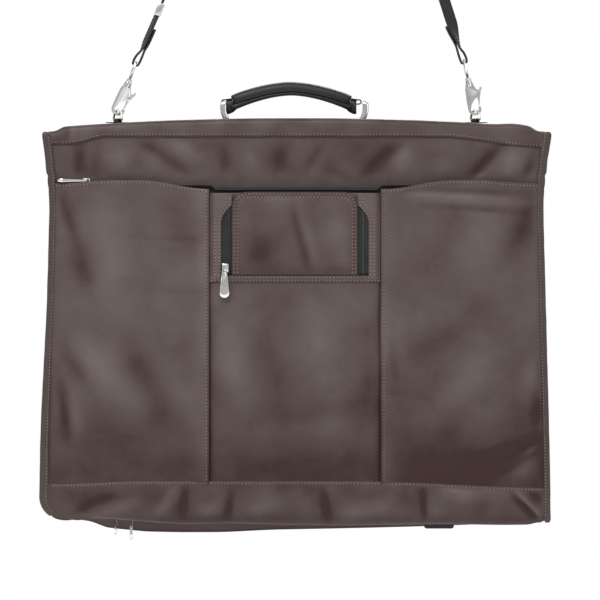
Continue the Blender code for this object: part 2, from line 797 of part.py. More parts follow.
def build_hook(name, side, lean, turn, parent):
    pose = hook_pose(side, lean, turn)
    body = "hook_" + name
    pivot(body, pose @ Vector((0, 0, HOOK_TOP)), parent)
    plate = add(body + "_body", moved(prism([claw_outline()], -HOOK_HALF, HOOK_HALF), pose), "nickel", body)
    bevel(plate, 0.7, 1)
    collar = cylinder((0, 0, HOOK_TOP - 7.0), (0, 0, HOOK_TOP + 0.6), 3.7)
    combine(plate, add_cutter(body + "_collar", moved(collar, pose), body), "UNION")
    bore = cylinder((0, 0, HOOK_TOP - 5.6), (0, 0, HOOK_TOP + 5.0), 2.2)
    combine(plate, add_cutter(body + "_bore", moved(bore, pose), body), "DIFFERENCE")
    slot = box((3.0, -1.25, 3.4), (20.0, 1.25, 24.6))
    combine(plate, add_cutter(body + "_slot", moved(slot, pose), body), "DIFFERENCE")
    u, v = GATE_PIVOT
    hole = cylinder((u, -9, v), (u, 9, v), 1.05, 12)
    combine(plate, add_cutter(body + "_pin_hole", moved(hole, pose), body), "DIFFERENCE")
    gate = "gate_" + name
    pivot(gate, pose @ Vector((u, 0, v)), body)
    leaf = add(body + "_gate", moved(prism([gate_outline()], -1.0, 1.0), pose), "nickel", gate)
    pin = cylinder((u, -2.7, v), (u, 2.7, v), 0.8, 12)
    combine(leaf, add_cutter(gate + "_pin", moved(pin, pose), gate), "UNION")


def eye_points():
    low = arc((0.0, EYE_BAR - 9.0), EYE_HALF, 200, 340, 10)
    top = arc((EYE_HALF - 3.0, EYE_BAR - 3.0), 3.0, 10, 80, 2)
    top += arc((3.0 - EYE_HALF, EYE_BAR - 3.0), 3.0, 100, 170, 2)
    return [(0.0, y, z) for y, z in low + top]


def build_eye(name, side, lean, turn, body):
    pose = hook_pose(side, lean, turn)
    eye = add("swivel_eye_" + name, moved(tube(eye_points(), EYE_WIRE, True), pose), "nickel", body)
    stem = cylinder((0, 0, HOOK_TOP - 4.8), (0, 0, EYE_BAR - 20.9), 1.8)
    combine(eye, add_cutter("eye_stem_" + name, moved(stem, pose), body), "UNION")
    collar = cylinder((0, 0, HOOK_TOP + 0.9), (0, 0, HOOK_TOP + 3.5), 3.2, 14)
    combine(eye, add_cutter("eye_collar_" + name, moved(collar, pose), body), "UNION")
    return pose @ Vector((0, 0, EYE_BAR))


def strap_frame(left, right):
    """Where the circular top that joins the two straight legs starts and has its centre, and the
    left leg's length."""
    h0, h1 = LEFT_LEG, math.pi - RIGHT_LEG
    across = right.x - left.x - ARC_RADIUS * (math.cos(h0) - math.cos(h1))
    rise = right.z - left.z - ARC_RADIUS * (math.sin(h1) - math.sin(h0))
    det = math.sin(h0) * -math.cos(RIGHT_LEG) - math.sin(RIGHT_LEG) * math.cos(h0)
    length = (across * -math.cos(RIGHT_LEG) - math.sin(RIGHT_LEG) * rise) / det
    start = Vector((left.x + length * math.sin(h0), left.z + length * math.cos(h0)))
    centre = start + ARC_RADIUS * Vector((math.cos(h0), -math.sin(h0)))
    return length, start, centre


def arc_points(centre, radius, start, end, steps):
    """Points by heading: 0 is up and clockwise is positive, as the strap's line is followed."""
    points = []
    for i in range(steps + 1):
        h = start + (end - start) * i / steps
        points.append((centre.x - radius * math.cos(h), centre.y + radius * math.sin(h)))
    return points


def loop_path(bar, heading):
    """(u, v) about the bar with v along the leg: tail, round the bar, and back to the leg's line."""
    local = [(3.5, 46.0), (3.5, 16.0), (4.3, 8.0)]
    local += arc((0.0, 0.0), 3.9, 10, -190, 10)
    local += [(-3.4, 8.0), (0.0, 17.0)]
    along = Vector((math.sin(heading), math.cos(heading)))
    across = Vector((along.y, -along.x))
    return [(bar.x + u * across.x + v * along.x, bar.z + u * across.y + v * along.y) for u, v in local]


def build_strap(body, left, right):
    length, start, centre = strap_frame(left, right)
    left_end = loop_path(left, LEFT_LEG)
    right_end = [(2 * right.x - x, z) for x, z in loop_path(right, RIGHT_LEG)]
    top = arc_points(centre, ARC_RADIUS, LEFT_LEG, math.pi - RIGHT_LEG, 22)
    path = left_end + top + list(reversed(right_end))
    strap = ribbon(path, -STRAP_HALF, STRAP_HALF)
    solidify(add("shoulder_strap", strap, "black_leather", body), STRAP)
    build_pad(body, centre)
    return length, start


def build_pad(body, centre):
    """The shoulder pad under the top of the strap, with two keepers over the strap."""
    middle = math.pi / 2
    inner = ARC_RADIUS - STRAP / 2 - PAD_GAP
    line = arc_points(centre, inner - PAD / 2, middle - PAD_REACH, middle + PAD_REACH, 18)
    pad = add("shoulder_pad", ribbon(line, -PAD_HALF, PAD_HALF, 2), "black_leather", body)
    solidify(pad, PAD)
    bevel(pad, 2.0, 2, 60.0)
    for side in (-1, 1):
        mid = middle + side * KEEPER_AT
        width = math.radians(2.6)
        outer = arc_points(centre, ARC_RADIUS + STRAP / 2 + 2.4, mid - width, mid + width, 3)
        inner_line = arc_points(centre, inner - 2.0, mid - width, mid + width, 3)
        shell = prism([outer + list(reversed(inner_line))], -STRAP_HALF - 3.0, STRAP_HALF + 3.0)
        wide = math.radians(6.0)
        gap_out = arc_points(centre, ARC_RADIUS + STRAP / 2 + 0.6, mid - wide, mid + wide, 5)
        gap_in = arc_points(centre, inner, mid - wide, mid + wide, 5)
        room = prism([gap_out + list(reversed(gap_in))], -STRAP_HALF - 0.6, STRAP_HALF + 0.6)
        name = "left" if side < 0 else "right"
        combine(pad, add_cutter("pad_keeper_" + name, shell, body), "UNION")
        combine(pad, add_cutter("pad_keeper_room_" + name, room, body), "DIFFERENCE")


def build_adjuster(start, length):
    """The sliding adjuster on the left leg, above the turned-back end."""
    body = "strap_adjuster"
    along = Vector((math.sin(LEFT_LEG), 0.0, math.cos(LEFT_LEG)))
    foot = Vector((start.x, 0.0, start.y)) - along * (length - 62.0)
    pose = Matrix.Translation(foot) @ Matrix.Rotation(LEFT_LEG, 4, "Y")
    pivot(body, foot, "strap")
    outer = [(-3.6, 0.0), (3.6, 0.0), (3.6, ADJUSTER_HEIGHT), (-3.6, ADJUSTER_HEIGHT)]
    frame = add("strap_adjuster", moved(prism([outer], -ADJUSTER_HALF, ADJUSTER_HALF), pose), "nickel", body)
    bevel(frame, 1.2, 2)
    wide, deep = STRAP_HALF + 0.6, STRAP / 2 + 0.5
    room = box((-deep, -wide, -5.0), (deep, wide, ADJUSTER_HEIGHT + 5.0))
    combine(frame, add_cutter("adjuster_room", moved(room, pose), body), "DIFFERENCE")
    for side in (-1, 1):
        at = side * 2.4
        window = box((at - 3.0, -STRAP_HALF, 3.4), (at + 3.0, STRAP_HALF, ADJUSTER_HEIGHT - 3.4))
        name = "left" if side < 0 else "right"
        combine(frame, add_cutter("adjuster_window_" + name, moved(window, pose), body), "DIFFERENCE")


def build_strap_assembly():
    for side, name in ((-1, "left"), (1, "right")):
        body = "d_ring_" + name
        base = Vector((side * D_X, 0.0, SWING_Z))
        pivot(body, base, "spine")
        ring = moved(tube(d_ring_points(), D_WIRE, True), Matrix.Rotation(D_TWIST, 4, "Z"))
        add(body, moved(ring, Matrix.Translation(base)), "nickel", body)
    pivot("strap", (0.0, 0.0, SWING_Z), "spine")
    left = build_eye("left", -1, LEFT_LEAN, 0.0, "strap")
    right = build_eye("right", 1, RIGHT_LEAN, 0.0, "strap")
    build_hook("left", -1, LEFT_LEAN, LEFT_TURN, "strap")
    build_hook("right", 1, RIGHT_LEAN, 0.0, "strap")
    length, start = build_strap("strap", left, right)
    build_adjuster(start, length)


# ---------- hanging hardware ----------
def build_hanging_mounts(body):
    build_hook_anchor(body)
    build_hook_keeper(body)
    build_bracket(body)
    strap = box((-HOLD_DOWN_HALF, 36.0, HOLD_DOWN_Z - 12.5), (HOLD_DOWN_HALF, 37.6, HOLD_DOWN_Z + 12.5))
    add("hold_down_strap", strap, "mesh", body)
    buckle = prism([rounded((-21.0, HOLD_DOWN_Z - 19.5), (21.0, HOLD_DOWN_Z + 19.5), 4.0)], 31.6, 35.6)
    bevel(add("hold_down_buckle", buckle, "zip_tape", body), 1.0, 1)


def build_hook_anchor(body):
    """The leather tab with the two ears that the hanging hook's pin goes through."""
    inner = CASE_FACE + GAP
    tab = prism([rounded((-17.0, HANG_Z + 5.0), (17.0, HANG_Z + 54.0), 6.0)], inner, inner + 2.4)
    tab = bevel(add("hook_anchor_tab", tab, "brown_leather", body), 0.6, 1)
    for side in (-1, 1):
        ear = prism_across(ear_outline(), side * 5.4 - 1.6, side * 5.4 + 1.6)
        name = "left" if side < 0 else "right"
        combine(tab, add_cutter("anchor_ear_" + name, ear, body), "UNION")
    pin_room = cylinder((-20.0, HANG_Y, HANG_Z + 8.0), (20.0, HANG_Y, HANG_Z + 8.0), 1.5, 16)
    combine(tab, add_cutter("anchor_bore", pin_room, body), "DIFFERENCE")


def build_hook_keeper(body):
    """The open clip that the folded hook rests in."""
    inner = CASE_FACE + GAP
    keeper = box((-5.6, inner, 150.0), (5.6, inner + 11.0, 162.0))
    keeper = bevel(add("hook_keeper", keeper, "black_leather", body), 0.8, 1)
    room = box((-HANG_WIRE - 0.6, inner + 3.6, 140.0), (HANG_WIRE + 0.6, inner + 30.0, 180.0))
    combine(keeper, add_cutter("keeper_room", room, body), "DIFFERENCE")


def build_bracket(body):
    """The plate and lugs inside the case that the hangers' clamp turns on."""
    bracket = box((-26.0, 40.4, CLAMP_Z - 9.0), (26.0, 41.6, CLAMP_Z + 14.0))
    bracket = add("hanger_bracket", bracket, "nickel", body)
    for side in (-1, 1):
        lug = box((side * LUG_X - 1.2, 34.6, CLAMP_Z - 4.0), (side * LUG_X + 1.2, 41.0, CLAMP_Z + 4.0))
        name = "left" if side < 0 else "right"
        combine(bracket, add_cutter("bracket_lug_" + name, lug, body), "UNION")
    bore = cylinder((-30.0, CLAMP_Y, CLAMP_Z), (30.0, CLAMP_Y, CLAMP_Z), 1.3, 16)
    combine(bracket, add_cutter("bracket_bore", bore, body), "DIFFERENCE")


def prism_across(outline, low, high):
    """Fills an outline (y, z) and extrudes it along X."""
    mesh = prism([outline], -high, -low)
    return moved(mesh, Matrix.Rotation(math.pi / 2, 4, "Z"))


def ear_outline():
    inner = CASE_FACE + 0.8
    centre = (HANG_Y, HANG_Z + 8.0)
    return [(inner, centre[1] - 3.6)] + arc(centre, 3.6, -90, 90, 8) + [(inner, centre[1] + 3.6)]


def build_hanging_hook():
    body = "hanging_hook"
    axis = Vector((0.0, HANG_Y, HANG_Z + 8.0))
    pivot(body, axis, "rear_case")
    foot = axis.z + 6.0
    shank = [(0.0, HANG_Y, foot - 4.0), (0.0, HANG_Y, foot + 40.0), (0.0, HANG_Y, foot + 100.0)]
    centre = (CROOK, foot + 112.0)
    crook = [(x, HANG_Y, z) for x, z in arc(centre, CROOK, 180, -10, 14)]
    wire = add("hanging_hook", tube(shank + crook, HANG_WIRE), "nickel", body)
    barrel = cylinder(axis - Vector((3.4, 0, 0)), axis + Vector((3.4, 0, 0)), 3.4, 20)
    combine(wire, add_cutter("hook_barrel", barrel, body), "UNION")
    pin = cylinder(axis - Vector((7.6, 0, 0)), axis + Vector((7.6, 0, 0)), 1.2, 16)
    combine(wire, add_cutter("hook_pin", pin, body), "UNION")


def build_clamp():
    body = "hanger_clamp"
    axis = Vector((0.0, CLAMP_Y, CLAMP_Z))
    pivot(body, axis, "rear_case")
    half = CLAMP_HALF
    top = CLAMP_Z + CLAMP_HEIGHT
    plate = box((-half, CLAMP_Y - 0.9, CLAMP_Z - 1.5), (half, CLAMP_Y + 0.9, top))
    clamp = bevel(add("hanger_clamp", plate, "nickel", body), 0.4, 1)
    barrel = cylinder((-half, CLAMP_Y, CLAMP_Z), (half, CLAMP_Y, CLAMP_Z), 2.2, 16)
    combine(clamp, add_cutter("clamp_barrel", barrel, body), "UNION")
    pin = cylinder((-LUG_X - 1.0, CLAMP_Y, CLAMP_Z), (LUG_X + 1.0, CLAMP_Y, CLAMP_Z), 1.0, 12)
    combine(clamp, add_cutter("clamp_pin", pin, body), "UNION")
    lip = box((-half, CLAMP_Y - 7.0, top - 3.0), (half, CLAMP_Y, top))
    combine(clamp, add_cutter("clamp_lip", lip, body), "UNION")


def main():
    global ASSEMBLY, CUTTERS
    clear_scene()
    ASSEMBLY = collection("garment_bag")
    CUTTERS = collection("cutters")
    pivot("rear_case", (0.0, 0.0, 0.0))
    PIVOTS["rear_case"][0].location = Vector(ORIGIN_SHIFT) * MM
    build_rear()
    build_spine()
    pivot("front_case", (0.0, -FOLD_Y, SPINE_PEAK), "spine")
    build_front()
    build_flap()
    build_zips()
    build_handle()
    build_strap_assembly()
    build_hanging_hook()
    build_clamp()


main()
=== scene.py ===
"""The looks of a folding leather garment bag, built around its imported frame.

Lengths here are millimetres in the bag's own directions: x from the middle, y from the plane between
the two cases (the front faces -y), z up from the lowest leather. new_object() takes them to the
frame's metres. "Depth" is how far out of that plane a face lies."""

import json
import math
from contextlib import contextmanager

import bmesh
import bpy
import numpy as np
from mathutils import Matrix, Vector, noise


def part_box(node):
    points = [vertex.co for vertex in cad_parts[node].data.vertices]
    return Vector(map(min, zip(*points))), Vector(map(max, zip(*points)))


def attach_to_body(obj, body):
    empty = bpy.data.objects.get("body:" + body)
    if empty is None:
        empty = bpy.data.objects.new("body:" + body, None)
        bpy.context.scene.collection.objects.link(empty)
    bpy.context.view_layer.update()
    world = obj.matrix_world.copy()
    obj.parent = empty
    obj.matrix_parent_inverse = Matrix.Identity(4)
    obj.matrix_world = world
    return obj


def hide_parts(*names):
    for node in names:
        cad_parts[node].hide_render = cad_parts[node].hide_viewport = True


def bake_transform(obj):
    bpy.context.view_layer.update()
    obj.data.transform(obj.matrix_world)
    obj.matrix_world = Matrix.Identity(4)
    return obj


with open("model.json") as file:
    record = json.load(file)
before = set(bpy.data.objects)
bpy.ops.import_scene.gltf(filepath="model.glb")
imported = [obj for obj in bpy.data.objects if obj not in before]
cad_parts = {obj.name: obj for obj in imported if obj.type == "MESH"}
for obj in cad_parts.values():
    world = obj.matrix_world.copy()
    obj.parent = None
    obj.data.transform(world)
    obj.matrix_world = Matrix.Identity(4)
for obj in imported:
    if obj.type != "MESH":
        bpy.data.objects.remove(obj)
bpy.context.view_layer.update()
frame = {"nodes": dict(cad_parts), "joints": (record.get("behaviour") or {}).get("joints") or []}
MM = 0.001

# ---------- measures read from the frame ----------
ORIGIN = Vector(
    (0.0, (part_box("front_panel")[0].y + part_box("rear_panel")[1].y) / 2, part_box("rear_panel")[0].z)
)


def span(node):
    """A node's lowest and highest corner, in the bag's millimetres."""
    low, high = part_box(node)
    return (low - ORIGIN) / MM, (high - ORIGIN) / MM


def joint_at(name):
    joint = next(j for j in frame["joints"] if j["name"] == name)
    return (Vector(joint["pos_m"]) - ORIGIN) / MM


def vertices(node):
    points = np.array([v.co for v in frame["nodes"][node].data.vertices])
    return (points - np.array(ORIGIN)) / MM


def reach(points, key, value, pick, step=3.0):
    """The furthest of one coordinate at each level of another."""
    keys = np.round(points[:, key] / step) * step
    levels = np.unique(keys)
    return levels, np.array([pick(points[keys == level, value]) for level in levels])


CASE_FACE = -span("front_panel")[0].y
CASE_TOP = span("front_panel")[1].z
CASE_LIP = 14.4
FRONT_BOTTOM = span("front_panel")[0].z
CORNER_LEFT = 15.0
CORNER_RIGHT = 6.0
BINDING = 8.6
UNDER_BINDING = 2.6
BINDING_FOOT = 41.0
FIN_TOP = 480.4
SHELL = 2.0
WIDTHS = reach(vertices("front_binding_right"), 2, 0, np.max)
SPINE = reach(vertices("spine_cover"), 0, 2, np.max)
SPINE_END = span("spine_cover")[1].x
REAR_FACE = vertices("rear_panel")
REAR_BED = reach(REAR_FACE[REAR_FACE[:, 1] > CASE_FACE - 0.5], 0, 2, np.min)

POCKET_LOW = span("pocket_left_panel")[0].z
POCKET_FLAT = -span("pocket_centre_panel")[0].y
POCKET_BASE = CASE_FACE + 2.6
SEAM_LEFT = span("pocket_centre_panel")[0].x
SEAM_RIGHT = span("pocket_centre_panel")[1].x
ZIP_LEVEL = span("pocket_zip_tape")[1].z - 0.4
SEAM_TUCK = 5.0
LIP_SEAM = 411.5
ZIP_SHOWS = 103.0
LIP_CREST = 422.0
LIP_END = 418.6
LIP_CENTRE = 407.0

FLAP_LOW, FLAP_HIGH = span("organizer_flap_panel")
FLAP_RISE = 2.8
FLAP_CORNER = 18.0
FRAME_LEFT = -90.6
FRAME_RIGHT = 86.6
SURROUND_LOW, SURROUND_HIGH = span("organizer_surround")
BORDER_ROWS = (2.4, 7.0)
BORDER_LOW_TOP = 307.6
BORDER_LOW_ROWS = (305.6, 301.4)
FLAP_ROWS = (2.4, 6.2)
TAPE_TOP = 398.0
FLAP_TAPE_TOP = 391.0
TEETH_TOP = 390.0
FOLD = joint_at("spine_fold")

STITCH_PITCH = 4.2
BINDING_PITCH = 3.8
STITCH_LONG = 1.35
STITCH_WIDE = 0.5
STITCH_SLANT = 0.2
# Half sizes of the dark beads that paint the shade in the needle holes.
NEEDLE_HOLE = (0.85, 0.6, 0.3)

RING_TURN = 19.0
RING_ABOVE_PIVOT = 3.4
SLIDER_WIDER = 1.3
PULL_LENGTHS = {"closure_left": 0.72, "closure_right": 0.89}
# Colour of the painted shade at the rims of metal parts, where they turn away from the view.
PAINTED_RIM_SHADE = (0.055, 0.058, 0.055)
# A pull's face from its hole to its outer edge: how far along, and how thick as a share
PULL_PROFILE = (
    (0.0, 0.6), (0.04, 1.0), (0.14, 1.0), (0.2, 0.72),
    (0.72, 0.72), (0.8, 1.0), (0.95, 1.0), (1.0, 0.5),
)

# Each leg of the strap: degrees of twist, then how far up it starts, is full, begins to end and ends
LEG_TWISTS = {-1: (15.0, 12.0, 30.0, 62.0, 82.0), 1: (-43.0, 14.0, 50.0, 120.0, 190.0)}

VIEW_WIDTH = 720.0
VIEW_CENTRE = (4.2, 278.4)
VIEW_FAR = 12.0
SENSOR = 36.0
LIGHT_AIM = (0.0, 0.0, 0.3)
FLOOR_LEVEL = -0.35

# Soft folds, each a line from (x, z) to (x, z) with a width and how far it stands out
UPPER_FOLDS = (
    (-262, 470, -259, 426, 7, -2.4),
    (-238, 462, -241, 428, 6, -1.4),
    (-212, 460, -206, 436, 13, 2.2),
    (-190, 472, -134, 432, 8, -3.0),
    (-152, 466, -112, 446, 9, 1.8),
    (-88, 464, -84, 424, 8, -2.4),
    (-56, 456, -50, 430, 12, 1.8),
    (-20, 464, -21, 424, 10, -2.4),
    (31, 468, 10, 430, 7, -2.2),
    (34, 436, 68, 418, 7, -2.0),
    (120, 464, 84, 430, 10, -2.8),
    (142, 460, 118, 430, 12, 2.0),
    (176, 452, 172, 430, 14, 1.2),
    (243, 464, 210, 424, 8, -3.4),
    (268, 458, 252, 426, 12, 2.6),
    (284, 452, 276, 424, 7, -2.6),
)
LEFT_FOLDS = (
    (-285, 408, -264, 345, 8, -3.4),
    (-264, 345, -250, 288, 11, -3.0),
    (-238, 400, -222, 300, 24, 2.2),
    (-150, 380, -118, 330, 22, -1.5),
    (-202, 355, -112, 350, 3.4, -0.9),
    (-176, 291, -112, 287, 4, -0.9),
    (-282, 224, -252, 174, 10, -3.0),
    (-283, 178, -275, 112, 6, -3.6),
    (-268, 165, -262, 112, 8, 2.2),
    (-262, 226, -200, 158, 18, 3.0),
    (-204, 232, -166, 148, 15, -3.0),
    (-158, 215, -124, 140, 17, 2.2),
    (-220, 120, -170, 84, 22, -1.8),
)
CENTRE_FOLDS = (
    (-92, 266, -62, 150, 18, 2.0),
    (-40, 284, -20, 130, 18, -2.0),
    (20, 270, 44, 140, 22, 2.0),
    (88, 250, 84, 150, 9, -1.8),
    (-96, 120, 90, 126, 12, 1.6),
)
RIGHT_FOLDS = (
    (132, 402, 282, 395, 4.5, 2.4),
    (136, 411, 278, 406, 4, -2.0),
    (150, 392, 276, 383, 5, -1.8),
    (285, 399, 256, 334, 16, -3.8),
    (246, 372, 188, 318, 26, 1.8),
    (112, 252, 118, 176, 7, -1.8),
    (106, 171, 128, 163, 4, -1.6),
    (284, 206, 276, 166, 11, 2.6),
    (292, 166, 286, 128, 6, -3.4),
    (294, 112, 268, 100, 8, -5.6),
    (268, 100, 236, 84, 12, -6.0),
    (236, 84, 190, 70, 16, -4.4),
    (262, 150, 214, 132, 22, 2.6),
    (262, 66, 290, 88, 10, 3.6),
    (236, 214, 148, 120, 20, 2.6),
    (206, 250, 130, 210, 16, -2.0),
)
FLAP_FOLDS = (
    (-6, 392, 18, 306, 5, -1.5),
    (4, 392, 28, 306, 7, 1.2),
    (-52, 356, -30, 318, 22, -1.7),
    (42, 384, 56, 330, 15, 1.3),
    (-44, 396, 6, 394, 9, 1.0),
)
BAND_FOLDS = (
    (-264, 24, -222, 44, 6, -2.6),
    (-240, 20, -190, 36, 7, 2.0),
    (-165, 24, -143, 50, 7, 2.6),
    (-138, 20, -133, 50, 4.5, -2.4),
    (-120, 24, -92, 30, 8, 2.0),
    (-84, 16, -78, 48, 5, -2.0),
    (-60, 24, -20, 36, 10, 1.6),
    (32, 50, 38, 12, 5, -2.6),
    (60, 22, 112, 32, 10, 1.8),
    (151, 56, 154, 14, 4, -2.4),
    (170, 46, 248, 44, 9, 2.2),
    (262, 42, 290, 14, 4.5, -3.6),
    (265, 47, 294, 18, 2.6, 3.4),
    (278, 50, 297, 34, 4, -2.2),
)
REAR_FOLDS = (
    (-240, 430, -190, 360, 22, 2.0),
    (-200, 460, -120, 400, 14, -2.2),
    (180, 470, 240, 380, 16, -2.2),
    (240, 330, 200, 220, 26, 2.0),
    (-270, 250, -240, 120, 16, -2.4),
    (-220, 220, -140, 80, 26, 2.2),
    (120, 200, 220, 70, 22, -2.4),
    (262, 110, 282, 40, 10, 2.2),
    (-110, 330, -90, 200, 24, -1.4),
    (100, 420, 120, 300, 24, 1.6),
)


# ---------- surfaces ----------
def smooth(t):
    t = np.clip(t, 0.0, 1.0)
    return t * t * (3.0 - 2.0 * t)


def hill(x, centre, width):
    """A bell curve, 1 at its centre."""
    return np.exp(-(((x - centre) / width) ** 2))


def folds(x, z, table):
    total = np.zeros(np.broadcast(x, z).shape)
    for x0, z0, x1, z1, width, height in table:
        dx, dz = x1 - x0, z1 - z0
        along = np.clip(((x - x0) * dx + (z - z0) * dz) / (dx * dx + dz * dz), 0.0, 1.0)
        away = (x - x0 - along * dx) ** 2 + (z - z0 - along * dz) ** 2
        fade = 0.4 + 0.6 * np.sin(np.pi * along)
        total = total + height * fade * np.exp(-away / (width * width))
    return total


def lumps(x, z, size, seed):
    """Gentle unevenness, about -1 to 1, with bumps of a given size."""
    x, z = np.broadcast_arrays(np.asarray(x, float), np.asarray(z, float))
    flat = [
        noise.noise(Vector((a / size, seed * 7.3, b / size))) * 1.6 for a, b in zip(x.ravel(), z.ravel())
    ]
    return np.array(flat).reshape(x.shape)


def half_width(z):
    return np.interp(z, *WIDTHS)


def spine_top(x):
    """The spine's upper line, whose ends droop to the side bindings."""
    hump = 2.4 * hill(x, 264.0, 18.0)
    return np.interp(x, *SPINE) + hump - 4.5 * smooth((np.abs(x) - 278.0) / 13.0)


def pocket_edge(z):
    return half_width(z) - BINDING + UNDER_BINDING


def pocket_base(x, z):
    across = 1.0 - np.minimum(1.0, np.abs(x) / pocket_edge(z)) ** 16
    return POCKET_BASE + (POCKET_FLAT - POCKET_BASE) * across * smooth((z - POCKET_LOW) / 55.0)


def above_case(depth):
    """Keeps a pocket's leather clear of the case's face behind it, without a sharp crease."""
    least = CASE_FACE + SHELL + 0.2
    return least + np.log1p(np.exp(np.clip((depth - least) * 2.0, -30.0, 30.0))) / 2.0


def room(x, z):
    """How much a pocket fold may move: nothing at the seams, and little where the zip's slider runs."""
    side = smooth((pocket_edge(z) - np.abs(x)) / 12.0)
    return side * smooth((z - POCKET_LOW) / 14.0) * (0.35 + 0.65 * smooth((430.0 - z) / 30.0))


def side_depth(x, z, seam, table, seed):
    """A side panel of the pocket, which stands a little proud along its inner seam."""
    soft = folds(x, z, table) + 0.9 * lumps(x, z, 46.0, seed)
    return above_case(pocket_base(x, z) + 1.8 * hill(x, seam, 16.0) + room(x, z) * soft)


def left_depth(x, z):
    return side_depth(x, z, SEAM_LEFT, LEFT_FOLDS, 1)


def right_depth(x, z):
    return side_depth(x, z, SEAM_RIGHT, RIGHT_FOLDS, 2)


def centre_depth(x, z):
    inward = 1.5 * (hill(x, SEAM_LEFT, 7.0) + hill(x, SEAM_RIGHT, 7.0))
    soft = folds(x, z, CENTRE_FOLDS) + 0.9 * lumps(x, z, 46.0, 3)
    below = smooth((FLAP_LOW.z - 12.0 - z) / 20.0)
    return above_case(pocket_base(x, z) - inward + room(x, z) * below * soft)


def surround_depth(x, z):
    """The organizer's leather border, which slopes down to the seams at its outer edges."""
    edge = np.minimum(x - SURROUND_LOW.x, SURROUND_HIGH.x - x)
    low = smooth(edge / 7.0) * smooth((z - SURROUND_LOW.z + 1.0) / 6.0)
    return POCKET_FLAT + 0.9 + 3.9 * low


def flap_depth(x, z):
    t = (z - FLAP_LOW.z) / (FLAP_HIGH.z - FLAP_LOW.z)
    edge = np.minimum(np.minimum(x - FLAP_LOW.x, FLAP_HIGH.x - x), FLAP_HIGH.z + FLAP_RISE - z)
    puff = smooth(edge / 12.0) * smooth(t / 0.2)
    return -FLAP_LOW.y + puff * (1.0 + folds(x, z, FLAP_FOLDS) + 0.5 * lumps(x, z, 30.0, 4))


def upper_depth(x, z):
    """The front case's face; the part above the pocket hangs in folds from the top seam."""
    loose = smooth((CASE_TOP - 2.0 - z) / 14.0) * smooth((pocket_edge(z) + 0.6 - np.abs(x)) / 12.0)
    low = smooth((z - 398.0) / 26.0)
    near_zip = 0.3 + 0.7 * smooth((z - 421.0) / 12.0)
    return CASE_FACE + loose * low * near_zip * (folds(x, z, UPPER_FOLDS) + 0.8 * lumps(x, z, 34.0, 5))


def rear_depth(x, z):
    """The rear case's face: loose folds, held flat round the hanging hook."""
    far = np.abs(x)
    loose = smooth((CASE_TOP - z) / 40.0) * smooth(z / 40.0) * smooth((half_width(z) - 10.0 - far) / 16.0)
    hook = 1.0 - smooth(1.0 - (far - 24.0) / 30.0) * smooth((z - 30.0) / 20.0) * smooth((230.0 - z) / 30.0)
    return CASE_FACE + loose * hook * (1.6 + folds(x, z, REAR_FOLDS) + 1.0 * lumps(x, z, 50.0, 6))


def front_low(x):
    """The front case's lower edge, which climbs towards its left end and lifts at the right corner."""
    waves = 1.2 * hill(x, -80.0, 30.0) - 1.6 * hill(x, 55.0, 70.0)
    rise = 7.4 * smooth((-x - 120.0) / 140.0) + 3.2 * smooth((x - 276.0) / 20.0)
    corner = 3.2 * hill(x, -277.0, 15.0) + 1.2 * hill(x, 250.0, 50.0)
    return FRONT_BOTTOM - 2.8 + rise + waves - corner


def rear_low(x):
    """The rear case's lower edge, lowest left of the middle and lifted towards its left corner."""
    level = np.interp(np.clip(x, -268.0, 268.0), *REAR_BED)
    sag = 2.6 * hill(x, -165.0, 80.0) + 1.4 * hill(x, -85.0, 40.0)
    return level - sag + 4.2 * smooth((-x - 226.0) / 26.0)


def band_top(x):
    """The bottom band's stitched upper edge, lower towards both ends."""
    return POCKET_LOW + 0.8 - 3.4 * smooth((-x - 190.0) / 100.0) - 8.4 * smooth((x - 60.0) / 270.0)


def band_drop(x, z):
    """How far down the bottom band a point lies, from 0 at its stitched edge to 1 at the bottom."""
    return np.clip((band_top(x) - z) / (band_top(x) - front_low(x)), 0.0, 1.0)


def band_side(x, z):
    """1 over the band, falling to 0 at its ends under the bindings."""
    return smooth((half_width(z) - BINDING + 1.0 - np.abs(x)) / 9.0)


def band_folds(x, z):
    t = band_drop(x, z)
    loose = band_side(x, z) * smooth(t / 0.2) * smooth((1.02 - t) / 0.25)
    return loose * (folds(x, z, BAND_FOLDS) + 0.7 * lumps(x, z, 26.0, 7))


def band_depth(x, z):
    """The bottom band: a soft roll from its stitched upper edge down and under."""
    t = band_drop(x, z)
    roll = 2.4 * band_side(x, z) * np.sin(np.pi * t**0.8) - 7.5 * np.clip((t - 0.72) / 0.28, 0.0, 1.0) ** 2.4
    return CASE_FACE + 3.1 + roll + band_folds(x, z)


# ---------- meshes ----------
def unit(rows):
    return rows / np.linalg.norm(rows, axis=1)[:, None]


def square_to(way, aim):
    """Unit directions nearest to `aim` that stand square to each direction in `way`."""
    side = np.broadcast_to(np.asarray(aim, float), way.shape)
    return unit(side - (side * way).sum(1)[:, None] * way)


def place_points(x, y, z):
    """Points from coordinates that may be single numbers or grids."""
    return np.stack(np.broadcast_arrays(x, y, z), -1)


@contextmanager
def editing(mesh):
    bm = bmesh.new()
    bm.from_mesh(mesh)
    yield bm
    bm.to_mesh(mesh)
    bm.free()


def link_new(name, data):
    obj = bpy.data.objects.new(name, data)
    bpy.context.scene.collection.objects.link(obj)
    return obj


def new_object(name, points, faces, material, painted_shading=None):
    mesh = bpy.data.meshes.new(name)
    placed = np.asarray(points, float).reshape(-1, 3) * MM + np.array(ORIGIN)
    mesh.from_pydata(placed.tolist(), [], faces)
    # The per-point painted light and shade that the brown leather reads.
    if painted_shading is not None:
        mesh.attributes.new("painted_shading", "FLOAT", "POINT").data.foreach_set("value", np.ravel(painted_shading))
    mesh.update()
    mesh.shade_smooth()
    mesh.materials.append(material)
    return link_new(name, mesh)


def grid_faces(rows, columns, start=0, wrap=False):
    faces = []
    across = columns if wrap else columns - 1
    for j in range(rows - 1):
        for i in range(across):
            k = (i + 1) % columns
            low, high = start + j * columns, start + (j + 1) * columns
            faces.append((low + i, low + k, high + k, high + i))
    return faces


